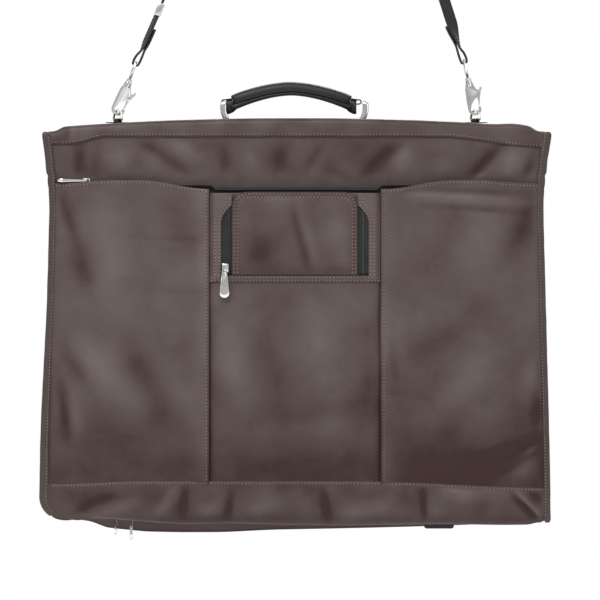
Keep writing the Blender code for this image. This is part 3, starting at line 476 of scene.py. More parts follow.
def settle(obj):
    """Applies an object's modifiers."""
    graph = bpy.context.evaluated_depsgraph_get()
    mesh = bpy.data.meshes.new_from_object(obj.evaluated_get(graph))
    obj.modifiers.clear()
    obj.data = mesh
    return obj


def thicken(obj, thickness, edge=0.35):
    mod = obj.modifiers.new("thickness", "SOLIDIFY")
    mod.thickness = thickness * MM
    mod.offset = -1.0
    mod.use_even_offset = True
    if edge:
        rim = obj.modifiers.new("rim", "BEVEL")
        rim.width = edge * MM
        rim.segments = 2
        rim.limit_method = "ANGLE"
        rim.angle_limit = math.radians(50)
    return settle(obj)


def attach(obj, body, slot, *nodes):
    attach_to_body(obj, body)
    if nodes:
        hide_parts(*nodes)
    return obj


def sheet(name, x, y, z, material, thickness, painted_shading=None, edge=0.35):
    """A leather or cloth sheet from grids of coordinates; its right side is out when x runs to the right
    along the rows and the rows climb, seen from outside."""
    points = place_points(x, y, z)
    rows, columns = points.shape[:2]
    obj = new_object(name, points, grid_faces(rows, columns), material, painted_shading)
    return thicken(obj, thickness, edge)


def loft(name, rings, material, closed=False):
    """Skins rings of points, given as (ring, point, 3)."""
    rings = np.asarray(rings, float)
    count, sides = rings.shape[:2]
    faces = grid_faces(count, sides, wrap=True)
    if closed:
        last = (count - 1) * sides
        faces += [(last + i, last + (i + 1) % sides, (i + 1) % sides, i) for i in range(sides)]
    else:
        faces.append(tuple(reversed(range(sides))))
        faces.append(tuple(range((count - 1) * sides, count * sides)))
    obj = new_object(name, rings, faces, material)
    with editing(obj.data) as bm:
        bmesh.ops.recalc_face_normals(bm, faces=bm.faces)
    return obj


def oval(half_a, half_b, power=2.0, sides=20):
    """A closed section from round (power 2) to nearly square."""
    angles = np.linspace(0.0, 2.0 * np.pi, sides, endpoint=False)
    c, s = np.cos(angles), np.sin(angles)
    a = half_a * np.sign(c) * np.abs(c) ** (2.0 / power)
    b = half_b * np.sign(s) * np.abs(s) ** (2.0 / power)
    return np.stack((a, b), -1)


def carry(path, section, across, closed=False):
    """Rings of a section carried along a path; the section's first coordinate lies along `across`."""
    path = np.asarray(path, float)
    if closed:
        tangent = np.roll(path, -1, 0) - np.roll(path, 1, 0)
    else:
        tangent = np.gradient(path, axis=0)
    tangent = unit(tangent)
    side = square_to(tangent, across)
    up = np.cross(side, tangent)
    section = np.broadcast_to(section, (len(path), *np.asarray(section).shape[-2:]))
    return path[:, None] + section[..., :1] * side[:, None] + section[..., 1:] * up[:, None]


def arc(centre, radius, start, end, steps):
    angles = np.radians(np.linspace(start, end, steps + 1))
    return np.stack((centre[0] + radius * np.cos(angles), centre[1] + radius * np.sin(angles)), -1)


def even(path, pitch):
    """A path resampled at even steps."""
    path = np.asarray(path, float)
    lengths = np.concatenate(([0.0], np.cumsum(np.linalg.norm(np.diff(path, axis=0), axis=1))))
    count = max(2, int(round(lengths[-1] / pitch)) + 1)
    at = np.linspace(0.0, lengths[-1], count)
    return np.stack([np.interp(at, lengths, path[:, k]) for k in range(path.shape[1])], -1)


# ---------- sewing ----------
SEWN = {}


def stitch_shape():
    bm = bmesh.new()
    bmesh.ops.create_uvsphere(bm, u_segments=6, v_segments=4, radius=1.0)
    turn = Matrix.Rotation(math.pi / 2, 4, "Y")
    bm.transform(Matrix.Diagonal((STITCH_LONG, STITCH_WIDE, STITCH_WIDE, 1.0)) @ turn)
    points = np.array([v.co for v in bm.verts])
    faces = [tuple(v.index for v in f.verts) for f in bm.faces]
    bm.free()
    return points, faces


STITCH_POINTS, STITCH_FACES = stitch_shape()
BEAD_POINTS = STITCH_POINTS / np.array((STITCH_LONG, STITCH_WIDE, STITCH_WIDE))
HOLE_POINTS = BEAD_POINTS * np.array(NEEDLE_HOLE)


def sew(body, path, outward, pitch=STITCH_PITCH, slant=STITCH_SLANT, thread="tan"):
    """Lays a row of stitches along a path on a face whose outside is `outward`, or outward(points)."""
    spots = even(path, pitch)
    middle = (spots[1:] + spots[:-1]) / 2
    lay_beads(body, thread, middle, np.diff(spots, axis=0), outward, STITCH_POINTS, slant, 0.15)
    if len(spots) > 2:
        # Dark beads at the needle holes between stitches: painted shade in the holes.
        way = spots[2:] - spots[:-2]
        lay_beads(body, "hole", spots[1:-1], way, outward, HOLE_POINTS, 0.0, 0.0)


def lay_beads(body, kind, spots, way, outward, shape, slant, lift):
    """Puts one small rounded bead at each spot, its length along `way`."""
    way = unit(way)
    out = square_to(way, outward(spots) if callable(outward) else outward)
    side = np.cross(out, way)
    way, side = way + slant * side, side - slant * way
    SEWN.setdefault((body, kind), []).append(set_out(spots + out * lift, shape, (way, side, out)))


def set_out(spots, shape, directions):
    """A copy of a small shape at each spot, its three coordinates along the three directions."""
    turned = [shape[None, :, k : k + 1] * direction[:, None] for k, direction in enumerate(directions)]
    return spots[:, None] + (turned[0] + turned[1] + turned[2])


def bead_object(name, points, material):
    """One mesh of many beads, given as (bead, point, 3)."""
    count, size = points.shape[:2]
    faces = [tuple(i + k * size for i in face) for k in range(count) for face in STITCH_FACES]
    return new_object(name, points, faces, material)


def sew_face(body, outline, depth, lift=0.0, side=-1, thread="tan"):
    """Stitches along (x, z) points on a face given by its depth function."""
    spots = even(outline, STITCH_PITCH)
    y = side * (depth(spots[:, 0], spots[:, 1]) + lift)
    sew(body, place_points(spots[:, 0], y, spots[:, 1]), (0.0, side, 0.0), thread=thread)


def finish_sewing(threads):
    for (body, kind), groups in SEWN.items():
        obj = bead_object(f"stitching_{kind}_{body}", np.concatenate(groups), threads[kind])
        attach(obj, body, "black_leather" if kind == "black" else "brown_leather")


# ---------- materials ----------
def start_material(name):
    mat = bpy.data.materials.new(name)
    mat.use_nodes = True
    tree = mat.node_tree
    coordinates = tree.nodes.new("ShaderNodeTexCoord")
    return mat, tree, tree.nodes["Principled BSDF"], coordinates.outputs["Object"]


def texture(tree, kind, place, **amounts):
    """A texture node; each amount is named after its input."""
    node = tree.nodes.new(f"ShaderNodeTex{kind}")
    for name, amount in amounts.items():
        node.inputs[name].default_value = amount
    tree.links.new(place, node.inputs["Vector"])
    return node


def noise_node(tree, place, scale, detail=3.0, roughness=0.55, distortion=0.0):
    amounts = {"Scale": scale, "Detail": detail, "Roughness": roughness, "Distortion": distortion}
    return texture(tree, "Noise", place, **amounts).outputs["Fac"]


def cells_node(tree, place, scale):
    return texture(tree, "Voronoi", place, Scale=scale).outputs["Distance"]


def wave_node(tree, place, scale, direction, distortion):
    node = texture(tree, "Wave", place, Scale=scale, Distortion=distortion)
    node.bands_direction = direction
    return node.outputs["Fac"]


def calculate(tree, operation, a, b):
    node = tree.nodes.new("ShaderNodeMath")
    node.operation = operation
    for socket, value in zip(node.inputs, (a, b)):
        if isinstance(value, (int, float)):
            socket.default_value = value
        else:
            tree.links.new(value, socket)
    return node.outputs[0]


def spread(tree, value, low, high, start=0.0, end=1.0):
    node = tree.nodes.new("ShaderNodeMapRange")
    tree.links.new(value, node.inputs["Value"])
    for name, amount in (("From Min", start), ("From Max", end), ("To Min", low), ("To Max", high)):
        node.inputs[name].default_value = amount
    return node.outputs["Result"]


def blend_colour(tree, amount, dark, light):
    node = tree.nodes.new("ShaderNodeMix")
    node.data_type = "RGBA"
    factor, a, b = node.inputs[0], node.inputs[6], node.inputs[7]
    tree.links.new(amount, factor)
    for socket, value in ((a, dark), (b, light)):
        if isinstance(value, tuple):
            socket.default_value = (*value, 1.0)
        else:
            tree.links.new(value, socket)
    return node.outputs[2]


def bump(tree, shader, layers):
    """Chains bump layers, each (height, strength, distance in metres)."""
    normal = None
    for height, strength, distance in layers:
        node = tree.nodes.new("ShaderNodeBump")
        node.inputs["Strength"].default_value = strength
        node.inputs["Distance"].default_value = distance
        tree.links.new(height, node.inputs["Height"])
        if normal is not None:
            tree.links.new(normal, node.inputs["Normal"])
        normal = node.outputs["Normal"]
    tree.links.new(normal, shader.inputs["Normal"])


def leather(name, dark, light, roughness, folded=False, grain=1.0, shine=(0.26, 0.46)):
    """Grained leather: pebbled cells and soft creases; when `folded` is set, its colour takes painted light
    on ridges and painted shade in folds.
    """
    mat, tree, shader, place = start_material(name)
    broad = noise_node(tree, place, 9.0, 3.0)
    patch = noise_node(tree, place, 46.0, 4.0, 0.6, 0.6)
    uneven = spread(tree, broad, -0.10, 0.10, 0.3, 0.7)
    tint = calculate(tree, "ADD", uneven, spread(tree, patch, -0.06, 0.06, 0.3, 0.7))
    # Painted light and shade: a per-point value, high where the leather stands out and low in its folds,
    # lightens or darkens the colour; through the clamp it also sets the sheen.
    if folded:
        painted_shading = tree.nodes.new("ShaderNodeAttribute")
        painted_shading.attribute_name = "painted_shading"
        tint = calculate(tree, "ADD", tint, painted_shading.outputs["Fac"])
    tint = calculate(tree, "ADD", tint, 0.5)
    cells = cells_node(tree, place, 900.0)
    pores = cells_node(tree, place, 2100.0)
    creases = noise_node(tree, place, 150.0, 5.0, 0.65, 1.4)
    shade = spread(tree, cells, 1.0, 0.0, 0.0, 0.9)
    tint = calculate(tree, "ADD", tint, spread(tree, shade, -0.08, 0.05))
    clamp = tree.nodes.new("ShaderNodeClamp")
    tree.links.new(tint, clamp.inputs["Value"])
    tree.links.new(blend_colour(tree, clamp.outputs[0], dark, light), shader.inputs["Base Color"])
    rough = spread(tree, patch, roughness - 0.06, roughness + 0.08, 0.3, 0.7)
    tree.links.new(rough, shader.inputs["Roughness"])
    tree.links.new(spread(tree, clamp.outputs[0], *shine), shader.inputs["Specular IOR Level"])
    layers = (creases, 0.22, 0.0007), (cells, 0.34, 0.00022), (pores, 0.2, 0.0001)
    bump(tree, shader, [(height, strength * grain, distance) for height, strength, distance in layers])
    return mat


def woven(name, dark, light, scale, roughness=0.85, depth=0.0003):
    """Plain weave: two sets of threads crossing."""
    mat, tree, shader, place = start_material(name)
    warp = wave_node(tree, place, scale, "X", 0.3)
    weft = wave_node(tree, place, scale, "Z", 0.3)
    across = wave_node(tree, place, scale, "Y", 0.3)
    crossing = calculate(tree, "MULTIPLY", warp, weft)
    cloth = calculate(tree, "MAXIMUM", crossing, calculate(tree, "MULTIPLY", across, 0.6))
    fuzz = noise_node(tree, place, 60.0, 4.0)
    threads = calculate(tree, "MULTIPLY", cloth, 0.6)
    amount = calculate(tree, "ADD", threads, spread(tree, fuzz, 0.0, 0.4, 0.3, 0.7))
    tree.links.new(blend_colour(tree, amount, dark, light), shader.inputs["Base Color"])
    shader.inputs["Roughness"].default_value = roughness
    shader.inputs["Sheen Weight"].default_value = 0.15
    bump(tree, shader, ((cloth, 0.5, depth), (fuzz, 0.15, 0.0004)))
    return mat


def metal(name, colour, roughness):
    """Plated metal with faint brushing and handling marks, with painted shade where it turns away."""
    mat, tree, shader, place = start_material(name)
    marks = noise_node(tree, place, 420.0, 5.0, 0.7, 0.4)
    haze = noise_node(tree, place, 60.0, 3.0)
    plate = blend_colour(tree, haze, tuple(c * 0.86 for c in colour), colour)
    # Painted shade: a dark colour where the surface turns away from the view stands in for dark reflections
    # at the rims.
    slope = tree.nodes.new("ShaderNodeLayerWeight")
    slope.inputs["Blend"].default_value = 0.5
    turned = spread(tree, slope.outputs["Facing"], 0.0, 1.0, 0.35, 0.9)
    tree.links.new(blend_colour(tree, turned, plate, PAINTED_RIM_SHADE), shader.inputs["Base Color"])
    rough = spread(tree, marks, roughness - 0.05, roughness + 0.1, 0.3, 0.75)
    tree.links.new(rough, shader.inputs["Roughness"])
    shader.inputs["Metallic"].default_value = 1.0
    bump(tree, shader, ((marks, 0.08, 0.0001),))
    return mat


def thread(name, dark, light):
    mat, tree, shader, place = start_material(name)
    twist = wave_node(tree, place, 900.0, "DIAGONAL", 0.5)
    worn = noise_node(tree, place, 70.0, 3.0)
    faded = spread(tree, worn, 0.5, 1.1, 0.3, 0.7)
    amount = calculate(tree, "MULTIPLY", spread(tree, twist, 0.4, 1.0), faded)
    tree.links.new(blend_colour(tree, amount, dark, light), shader.inputs["Base Color"])
    shader.inputs["Roughness"].default_value = 0.7
    bump(tree, shader, ((twist, 0.4, 0.0002),))
    return mat


def moulded(name, dark, light, roughness):
    mat, tree, shader, place = start_material(name)
    fine = noise_node(tree, place, 700.0, 3.0)
    soft = noise_node(tree, place, 40.0, 2.0)
    tree.links.new(blend_colour(tree, soft, dark, light), shader.inputs["Base Color"])
    tree.links.new(spread(tree, fine, roughness - 0.05, roughness + 0.08), shader.inputs["Roughness"])
    bump(tree, shader, ((fine, 0.15, 0.0001),))
    return mat


BROWN = leather("brown_leather", (0.032, 0.0125, 0.0115), (0.118, 0.090, 0.083), 0.45, folded=True)
TRIM = leather("brown_trim", (0.032, 0.018, 0.016), (0.084, 0.066, 0.060), 0.42)
BLACK = leather(
    "black_leather", (0.008, 0.007, 0.007), (0.026, 0.025, 0.025), 0.46, grain=0.8, shine=(0.2, 0.55)
)
EDGE = leather("cut_edge", (0.010, 0.008, 0.008), (0.030, 0.024, 0.022), 0.55, grain=0.6)
NICKEL = metal("bright_nickel", (0.86, 0.86, 0.84), 0.14)
TAPE = woven("zip_tape", (0.004, 0.004, 0.004), (0.020, 0.021, 0.021), 260.0)
COIL = moulded("zip_coil", (0.012, 0.013, 0.013), (0.040, 0.043, 0.042), 0.38)
LINING = woven("lining_cloth", (0.016, 0.014, 0.013), (0.052, 0.047, 0.043), 190.0, 0.7)
NET = woven("net_cloth", (0.004, 0.004, 0.004), (0.032, 0.032, 0.032), 70.0, 0.8, 0.0006)
WEBBING = woven("webbing", (0.006, 0.006, 0.006), (0.030, 0.030, 0.030), 120.0, 0.75, 0.0005)
BOARD = moulded("fibre_board", (0.030, 0.025, 0.020), (0.060, 0.050, 0.040), 0.7)
PLASTIC = moulded("black_plastic", (0.008, 0.008, 0.008), (0.020, 0.020, 0.020), 0.35)
TAN_THREAD = thread("tan_thread", (0.130, 0.080, 0.066), (0.350, 0.252, 0.230))
BLACK_THREAD = thread("black_thread", (0.008, 0.008, 0.008), (0.040, 0.038, 0.036))


# ---------- the two cases ----------
def bed(side):
    """The case's lower edge as a function of x."""
    return front_low if side < 0 else rear_low


def corner_inset(height, radius):
    """How far a rounded lower corner draws the edge in at a height above the case's bottom."""
    drop = np.clip(1.0 - height / radius, 0.0, 1.0)
    return radius * (1.0 - np.sqrt(1.0 - drop**2))


def case_face(side, inset, rows, columns):
    """Grids of x and z over a case's face, with its lower corners rounded."""
    bottom = bed(side)
    corner = 20.0 * (1.0 - np.cos(np.linspace(0.0, np.pi / 2, 8)))
    height = np.concatenate((corner, rows[rows > 22.0]))
    straight = half_width(np.maximum(height, 40.0)) - BINDING + UNDER_BINDING - inset
    left = straight - corner_inset(height, CORNER_LEFT)
    right = straight - corner_inset(height, CORNER_RIGHT + inset)
    x = np.where(columns[None, :] < 0.0, columns[None, :] * left[:, None], columns[None, :] * right[:, None])
    top = CASE_TOP - inset
    z = height[:, None] + (bottom(x) + inset) * np.maximum(0.0, 1.0 - height[:, None] / top) ** 1.5
    return x, z


def face_columns(step):
    edge = np.array([0.0, 0.006, 0.014, 0.026])
    inner = np.linspace(-0.955, 0.955, int(580.0 / step))
    return np.concatenate((edge - 1.0, inner, 1.0 - edge[::-1]))


def wall_goal(rim, side, lip):
    """Where each point of a face's rim ends when its wall reaches the zip."""
    line = even(zip_line(-1.0), 2.0)
    apart = ((rim[:, None, ::2] - line[None]) ** 2).sum(-1)
    near = line[np.argmin(apart, axis=1)]
    level = np.where(rim[:, 2] < 90.0, near[:, 1], rim[:, 2])
    return place_points(near[:, 0], side * lip, level)


def case_shell(name, side, depth, material, inset=0.0, lip=CASE_LIP, step=4.5, thickness=SHELL, slack=3.0):
    """A case's leather or lining: the face, rolled over at its lower edge into walls that reach the zip."""
    rows = np.concatenate((np.linspace(27.0, 396.0, 40), np.linspace(401.0, CASE_TOP, 19)))
    x, z = case_face(side, inset, rows, face_columns(step))
    edge = np.maximum(z - z[:1], 0.0)
    roll = 7.0
    y = depth(x, z) - roll + np.sqrt(roll**2 - np.clip(roll - edge, 0.0, roll) ** 2)
    count, across = x.shape
    face = place_points(x, side * y, z).reshape(-1, 3)
    index = np.arange(count * across).reshape(count, across)
    loop = np.concatenate((index[::-1, 0], index[0, 1:-1], index[:, -1]))
    rim = face[loop]
    goal = wall_goal(rim, side, lip)
    if inset:
        goal[:, 0] -= np.sign(goal[:, 0]) * 2.0
    inward = np.array((0.0, 0.0, 240.0)) - rim
    inward[:, 1] = 0.0
    inward = unit(inward)
    points = [face]
    faces = grid_faces(count, across)
    last = loop
    rings = 9
    for k in range(1, rings + 1):
        t = k / rings
        wave = 1.0 + 0.5 * lumps(rim[:, 0] + rim[:, 2], rim[:, 2] - rim[:, 0], 40.0, 8 + side)
        sag = slack * math.sin(math.pi * t) * wave
        points.append(rim + (goal - rim) * t + inward * sag[:, None])
        now = np.arange(len(loop)) + count * across + (k - 1) * len(loop)
        quads = np.stack((last[:-1], now[:-1], now[1:], last[1:]), -1)
        faces += [tuple(q) for q in quads.tolist()]
        last = now
    points = np.concatenate(points)
    # Painted shading: painted shade on the walls between the cases; on the face, painted light where it
    # stands out, painted shade in its folds and painted shade towards its lower edge, more on the rear case.
    painted_shading = np.full(len(points), -0.3)
    low = (1.0 if side > 0 else 0.6) * smooth((34.0 - z) / 24.0)
    painted_shading[: len(face)] = ((y - CASE_FACE) * 0.15 - 0.03 - low).ravel()
    obj = new_object(name, points, faces, material, np.clip(painted_shading, -0.7, 0.4))
    face_outward(obj, side)
    return thicken(obj, thickness)


def face_outward(obj, side):
    """Turns a case's faces so that its large panel looks away from the other case."""
    with editing(obj.data) as bm:
        bmesh.ops.recalc_face_normals(bm, faces=bm.faces)
        middle = min(bm.faces, key=lambda f: (f.calc_center_median().xz - Vector((0.0, 0.25))).length)
        if middle.normal.y * side < 0:
            bmesh.ops.reverse_faces(bm, faces=bm.faces)


def fin_flare(z, hand):
    """How much broader the bound seam is along its height; the left one flares towards its foot."""
    upper = 0.9 * smooth((z - 395.0) / 20.0) + 1.3 * smooth((z - 414.0) / 5.0)
    if hand < 0:
        return upper - 0.6 + 3.6 * smooth((300.0 - z) / 190.0)
    return upper - 0.9 + 0.8 * smooth((z - 440.0) / 20.0)


def build_bindings(side):
    """The bound seams that stand out along a case's sides, with a rounded outer edge."""
    case = "front" if side < 0 else "rear"
    node = span(f"{case}_binding_right")
    y = side * (abs(node[0].y) + abs(node[1].y)) / 2
    for hand, name in ((-1, "left"), (1, "right")):
        rounding = np.array([0.0, 0.8, 1.8, 3.2, 5.0])
        levels = np.concatenate((FIN_TOP - rounding, np.linspace(472.0, 44.0, 110)))
        wider = fin_flare(levels, hand)
        x = half_width(levels) + wider / 2 - BINDING / 2 + 0.1
        path = np.stack((x, levels), -1)
        if hand < 0:
            turn = arc((x[-1] - 23.0, BINDING_FOOT), 23.0, 0.0, -58.0, 12)
        else:
            turn = np.stack((np.full(9, x[-1] - 0.2), np.linspace(BINDING_FOOT, 11.0, 9)), -1)
        path = np.concatenate((path, turn))
        line = place_points(hand * path[:, 0], y, path[:, 1])
        wave = 0.35 * np.array([noise.noise(Vector((p[2] / 22.0, hand, side))) for p in line])
        line[:, 0] += wave
        run = np.arange(len(line))
        start = 1.0 - 0.48 * np.clip(1.0 - run / 4.0, 0.0, 1.0) ** 2
        grow = np.minimum(start, np.clip(run[::-1] / 2.0 + 0.6, 0.0, 1.0))
        half = BINDING / 2 + np.concatenate((wider, np.linspace(wider[-1], 0.0, len(turn)))) / 2
        section = oval(1.0, 1.0, 3.4, 20)[None] * np.stack((half * grow, 3.1 * grow), -1)[:, None]
        rings = carry(line, section, (1.0, 0.0, 0.0))
        obj = loft(f"{case}_bound_seam_{name}", rings, TRIM)
        attach(obj, f"{case}_case", "brown_leather", f"{case}_binding_{name}")
        inner = line[4:-2].copy()
        inner[:, 0] -= hand * 2.3
        inner[:, 1] = y + side * 3.05
        sew(f"{case}_case", inner, (0.0, side, 0.0), pitch=BINDING_PITCH)


def zip_line(inset=0.0):
    low, high = span("front_zip_tape")
    half = high.x - 0.7 - inset
    base = low.z + 0.7 + inset
    radius = 18.0
    corner = arc((radius - half, base + radius), radius, 180.0, 270.0, 10)
    upright = np.array([[-half, z] for z in np.linspace(high.z, base + radius + 2.0, 60)])
    left = np.concatenate((upright, corner))
    right = left[::-1] * (-1.0, 1.0)
    return np.concatenate((left, right))


def teeth(name, path, across, body, material, size=(1.0, 0.7, 1.1), pitch=2.6, phase=0.0):
    """A row of zip teeth: small rounded blocks set across a path."""
    spots = even(path, pitch)
    way = unit(np.gradient(spots, axis=0))
    side = square_to(way, across)
    block = np.sign(BEAD_POINTS) * np.abs(BEAD_POINTS) ** 0.55 * np.array(size)
    points = set_out(spots + way * pitch * phase, block, (side, way, np.cross(way, side)))
    return attach(bead_object(name, points, material), body, "zip_tape")


def build_closure(side):
    """One half of the zip that joins the cases: its tape and its row of teeth."""
    case = "front" if side < 0 else "rear"
    low, high = span(f"{case}_zip_tape")
    inner, outer = sorted((abs(low.y), abs(high.y)))
    line = zip_line()
    widths = np.linspace(inner, outer, 6)
    x = np.repeat(line[:, :1], 6, 1)
    z = np.repeat(line[:, 1:], 6, 1)
    y = np.broadcast_to(side * widths, x.shape)
    obj = sheet(f"{case}_closure_tape", x, y, z, TAPE, 1.2, edge=0.0)
    attach(obj, f"{case}_case", "zip_tape", f"{case}_zip_tape")
    edge = place_points(line[:, 0], side * 1.5, line[:, 1])
    teeth(f"{case}_closure_teeth", edge, (0, 1, 0), f"{case}_case", COIL, phase=0.25 * side)


def build_front_face():
    shell = case_shell("front_shell", -1, upper_depth, BROWN)
    attach(shell, "front_case", "brown_leather", "front_panel")
    v = np.linspace(0.0, 1.0, 24)[:, None]
    u = np.linspace(-1.0, 1.0, 170)[None, :]
    straight = half_width(50.0) - BINDING + UNDER_BINDING
    low = front_low(u * straight) + 0.2
    height = (POCKET_LOW - low) * v
    left = straight - corner_inset(height, CORNER_LEFT)
    right = straight - corner_inset(height, CORNER_RIGHT)
    x = np.where(u < 0.0, u * left, u * right)
    z = low + (band_top(x) - low) * v
    depth = band_depth(x, z)
    # Painted light and shade following the band's folds, and painted shade towards its bottom edge.
    painted_shading = np.clip(band_folds(x, z) * 0.2 - 0.2 - 0.15 * smooth((24.0 - z) / 12.0), -0.7, 0.4)
    obj = sheet("front_lower_band", x, -depth, z, BROWN, 1.9, painted_shading)
    attach(obj, "front_case", "brown_leather", "front_bottom_band")
    across = np.linspace(6.0 - straight, straight - 6.0, 400)
    sew_face("front_case", np.stack((across, band_top(across) - 2.6), -1), band_depth)


def lip(x):
    """The pocket's upper edge, dipping towards its middle."""
    far = np.abs(x)
    rise = smooth((far - 104.0) / 84.0)
    fall = smooth((far - 215.0) / 70.0)
    return LIP_SEAM + (LIP_CREST - LIP_SEAM) * rise - (LIP_CREST - LIP_END) * fall


def pocket_panel(name, left, right, top, depth, columns):
    """One panel of the front pocket, between side lines and a top line given as functions."""
    v = np.linspace(0.0, 1.0, 92)[:, None]
    u = np.linspace(0.0, 1.0, columns)[None, :]
    level = POCKET_LOW + (LIP_END - POCKET_LOW) * v
    x = left(level) + (right(level) - left(level)) * u
    low = band_top(x) - 3.0
    z = low + (top(x) - low) * v
    x = left(z) + (right(z) - left(z)) * u
    out = depth(x, z)
    # Painted shading: painted shade that deepens towards the bottom and towards the right, painted light and
    # shade following the folds, painted shade along the panel's side edges, and a painted highlight near the
    # lower right corner.
    shade = 0.26 * smooth((230.0 - z) / 120.0) + 0.20 * smooth((112.0 - z) / 40.0)
    shade = shade * (1.0 + 0.2 * x / 290.0) + 0.06 * smooth((x - 110.0) / 30.0)
    side = np.minimum(np.abs(x - left(z)), np.abs(x - right(z)))
    painted_highlight = 0.22 * np.exp(-(((x - 266.0) / 26.0) ** 2) - ((z - 62.0) / 15.0) ** 2)
    relief = (out - pocket_base(x, z)) * 0.13
    painted_shading = np.clip(relief + 0.08 + painted_highlight - shade - 0.4 * np.exp(-side), -0.8, 0.5)
    obj = sheet(f"pocket_{name}_leather", x, -out, z, BROWN, 1.9, painted_shading)
    attach(obj, "front_case", "brown_leather", f"pocket_{name}_panel")


def level_line(value):
    """A function that gives one value over any grid."""
    return lambda grid: value + 0.0 * grid


def build_pocket():
    left_seam, right_seam = level_line(SEAM_LEFT), level_line(SEAM_RIGHT)
    pocket_panel("left", lambda z: -pocket_edge(z), left_seam, lip, left_depth, 46)
    pocket_panel("right", right_seam, pocket_edge, lip, right_depth, 46)
    tucked = level_line(SEAM_LEFT - SEAM_TUCK), level_line(SEAM_RIGHT + SEAM_TUCK)
    pocket_panel("centre", *tucked, level_line(LIP_CENTRE), tucked_depth, 48)
    levels = np.linspace(POCKET_LOW + 1.0, LIP_SEAM - 1.5, 300)
    sew_face("front_case", np.stack((np.full(300, SEAM_LEFT - 3.0), levels), -1), left_depth)
    sew_face("front_case", np.stack((np.full(300, SEAM_RIGHT + 4.0), levels), -1), right_depth)
    for start, end, depth in ((-290.0, SEAM_LEFT - 2.0, left_depth), (SEAM_RIGHT + 2.0, 291.0, right_depth)):
        x = np.linspace(start, end, 200)
        sew_face("front_case", np.stack((x, lip(x) - 3.0), -1), depth)
    build_pocket_zip()


def seam_tuck(x):
    """1 where the centre panel runs under its neighbours, 0 elsewhere."""
    return smooth((SEAM_LEFT + 1.0 - x) / 2.0) + smooth((x - SEAM_RIGHT + 1.0) / 2.0)


def tucked_depth(x, z):
    """The centre panel's face, let in where it runs under its neighbours."""
    return centre_depth(x, z) - 2.2 * seam_tuck(x)


def build_pocket_zip():
    low, high = span("pocket_zip_tape")
    x = np.linspace(low.x, high.x, 120)[None, :]
    v = np.linspace(0.0, 1.0, 9)[:, None]
    outer = np.minimum(pocket_base(x, ZIP_LEVEL) - 2.6, POCKET_FLAT - 2.6)
    y = -(CASE_FACE + 0.6 + (outer - CASE_FACE - 0.6) * v)
    dip = smooth((ZIP_SHOWS - np.abs(x)) / 6.0) * v
    z = ZIP_LEVEL - 1.4 * smooth((ZIP_SHOWS - np.abs(x)) / 6.0) - 4.0 * dip + 0.0 * y
    obj = sheet("pocket_zip_cloth", x + 0.0 * v, y, z, TAPE, 0.7, edge=0.0)
    attach(obj, "front_case", "zip_tape", "pocket_zip_tape")
    xs = np.linspace(low.x, high.x, 300)
    level = ZIP_LEVEL + 0.2 - 2.6 * smooth((ZIP_SHOWS - np.abs(xs)) / 6.0)
    for row, offset, phase in (("inner", -1.0, 0.0), ("outer", 1.0, 0.5)):
        path = place_points(xs, -(CASE_FACE + 5.7 + offset), level)
        name = f"pocket_zip_teeth_{row}"
        teeth(name, path, (0, 1, 0), "front_case", COIL, size=(0.9, 0.8, 0.6), phase=phase)


# ---------- organizer ----------
def build_organizer():
    build_surround()
    build_flap()
    low, high = span("organizer_backing")
    x = np.linspace(low.x, high.x, 40)[None, :]
    z = np.linspace(low.z, high.z, 24)[:, None]
    y = low.y - 0.1 * np.cos(x / 6.0)
    obj = sheet("organizer_backing_cloth", x, y, z, LINING, 0.7, edge=0.0)
    attach(obj, "front_case", "lining", "organizer_backing")


def ear(z):
    """How far the border closes in over the zip's upper ends."""
    return 13.0 * np.clip((z - 370.0) / 22.0, 0.0, 1.0) ** 2


def build_surround():
    """The border as three strips: two uprights and the strip under the flap."""
    top = LIP_CENTRE - 0.6
    z = np.concatenate((np.linspace(SURROUND_LOW.z, 376.0, 26), np.linspace(377.5, top, 22)))[:, None]
    u = np.linspace(0.0, 1.0, 12)[None, :]
    left = FRAME_LEFT + ear(z)
    right = FRAME_RIGHT - ear(z)
    uprights = (("left", SURROUND_LOW.x, left, ["organizer_surround"]), ("right", right, SURROUND_HIGH.x, []))
    for name, start, end, nodes in uprights:
        x = start + (end - start) * u
        depth = surround_depth(x, z)
        # Painted light where the border stands out, painted shade where it slopes down to the seams.
        painted_shading = np.clip((depth - POCKET_FLAT - 3.6) * 0.12 + 0.1, -0.4, 0.3)
        obj = sheet(f"organizer_border_{name}", x, -depth, z, BROWN, 1.3, painted_shading)
        attach(obj, "front_case", "brown_leather", *nodes)
    x = np.linspace(FRAME_LEFT - 3.0, FRAME_RIGHT + 3.0, 70)[None, :]
    z = np.linspace(SURROUND_LOW.z, BORDER_LOW_TOP, 6)[:, None]
    obj = sheet("organizer_border_low", x, 0.15 - surround_depth(x, z), z, BROWN, 1.2, np.full((6, 70), 0.08))
    attach(obj, "front_case", "brown_leather")
    levels = np.linspace(307.0, 402.0, 100)
    for away in BORDER_ROWS:
        sew_face("front_case", np.stack((FRAME_LEFT + ear(levels) - away, levels), -1), surround_depth)
        sew_face("front_case", np.stack((FRAME_RIGHT - ear(levels) + away, levels), -1), surround_depth)
    across = np.linspace(SEAM_LEFT + 1.5, SEAM_RIGHT - 0.5, 200)
    for level in BORDER_LOW_ROWS:
        sew_face("front_case", np.stack((across, np.full(200, level)), -1), surround_depth)


def flap_edge(inset):
    """The flap's outline, open at the bottom, moved in from its edge."""
    low, high = FLAP_LOW, FLAP_HIGH
    left, right, top = low.x + inset, high.x - inset, high.z + FLAP_RISE - inset
    r = FLAP_CORNER - inset * 0.6
    rise = np.array([[left, z] for z in np.linspace(low.z + 1.0, top - r, 30)])
    fall = np.array([[right, z] for z in np.linspace(top - r, low.z + 1.0, 30)])
    first = arc((left + r, top - r), r, 180.0, 90.0, 8)
    second = arc((right - r, top - r), r, 90.0, 0.0, 8)
    return np.concatenate((rise, first, second, fall))


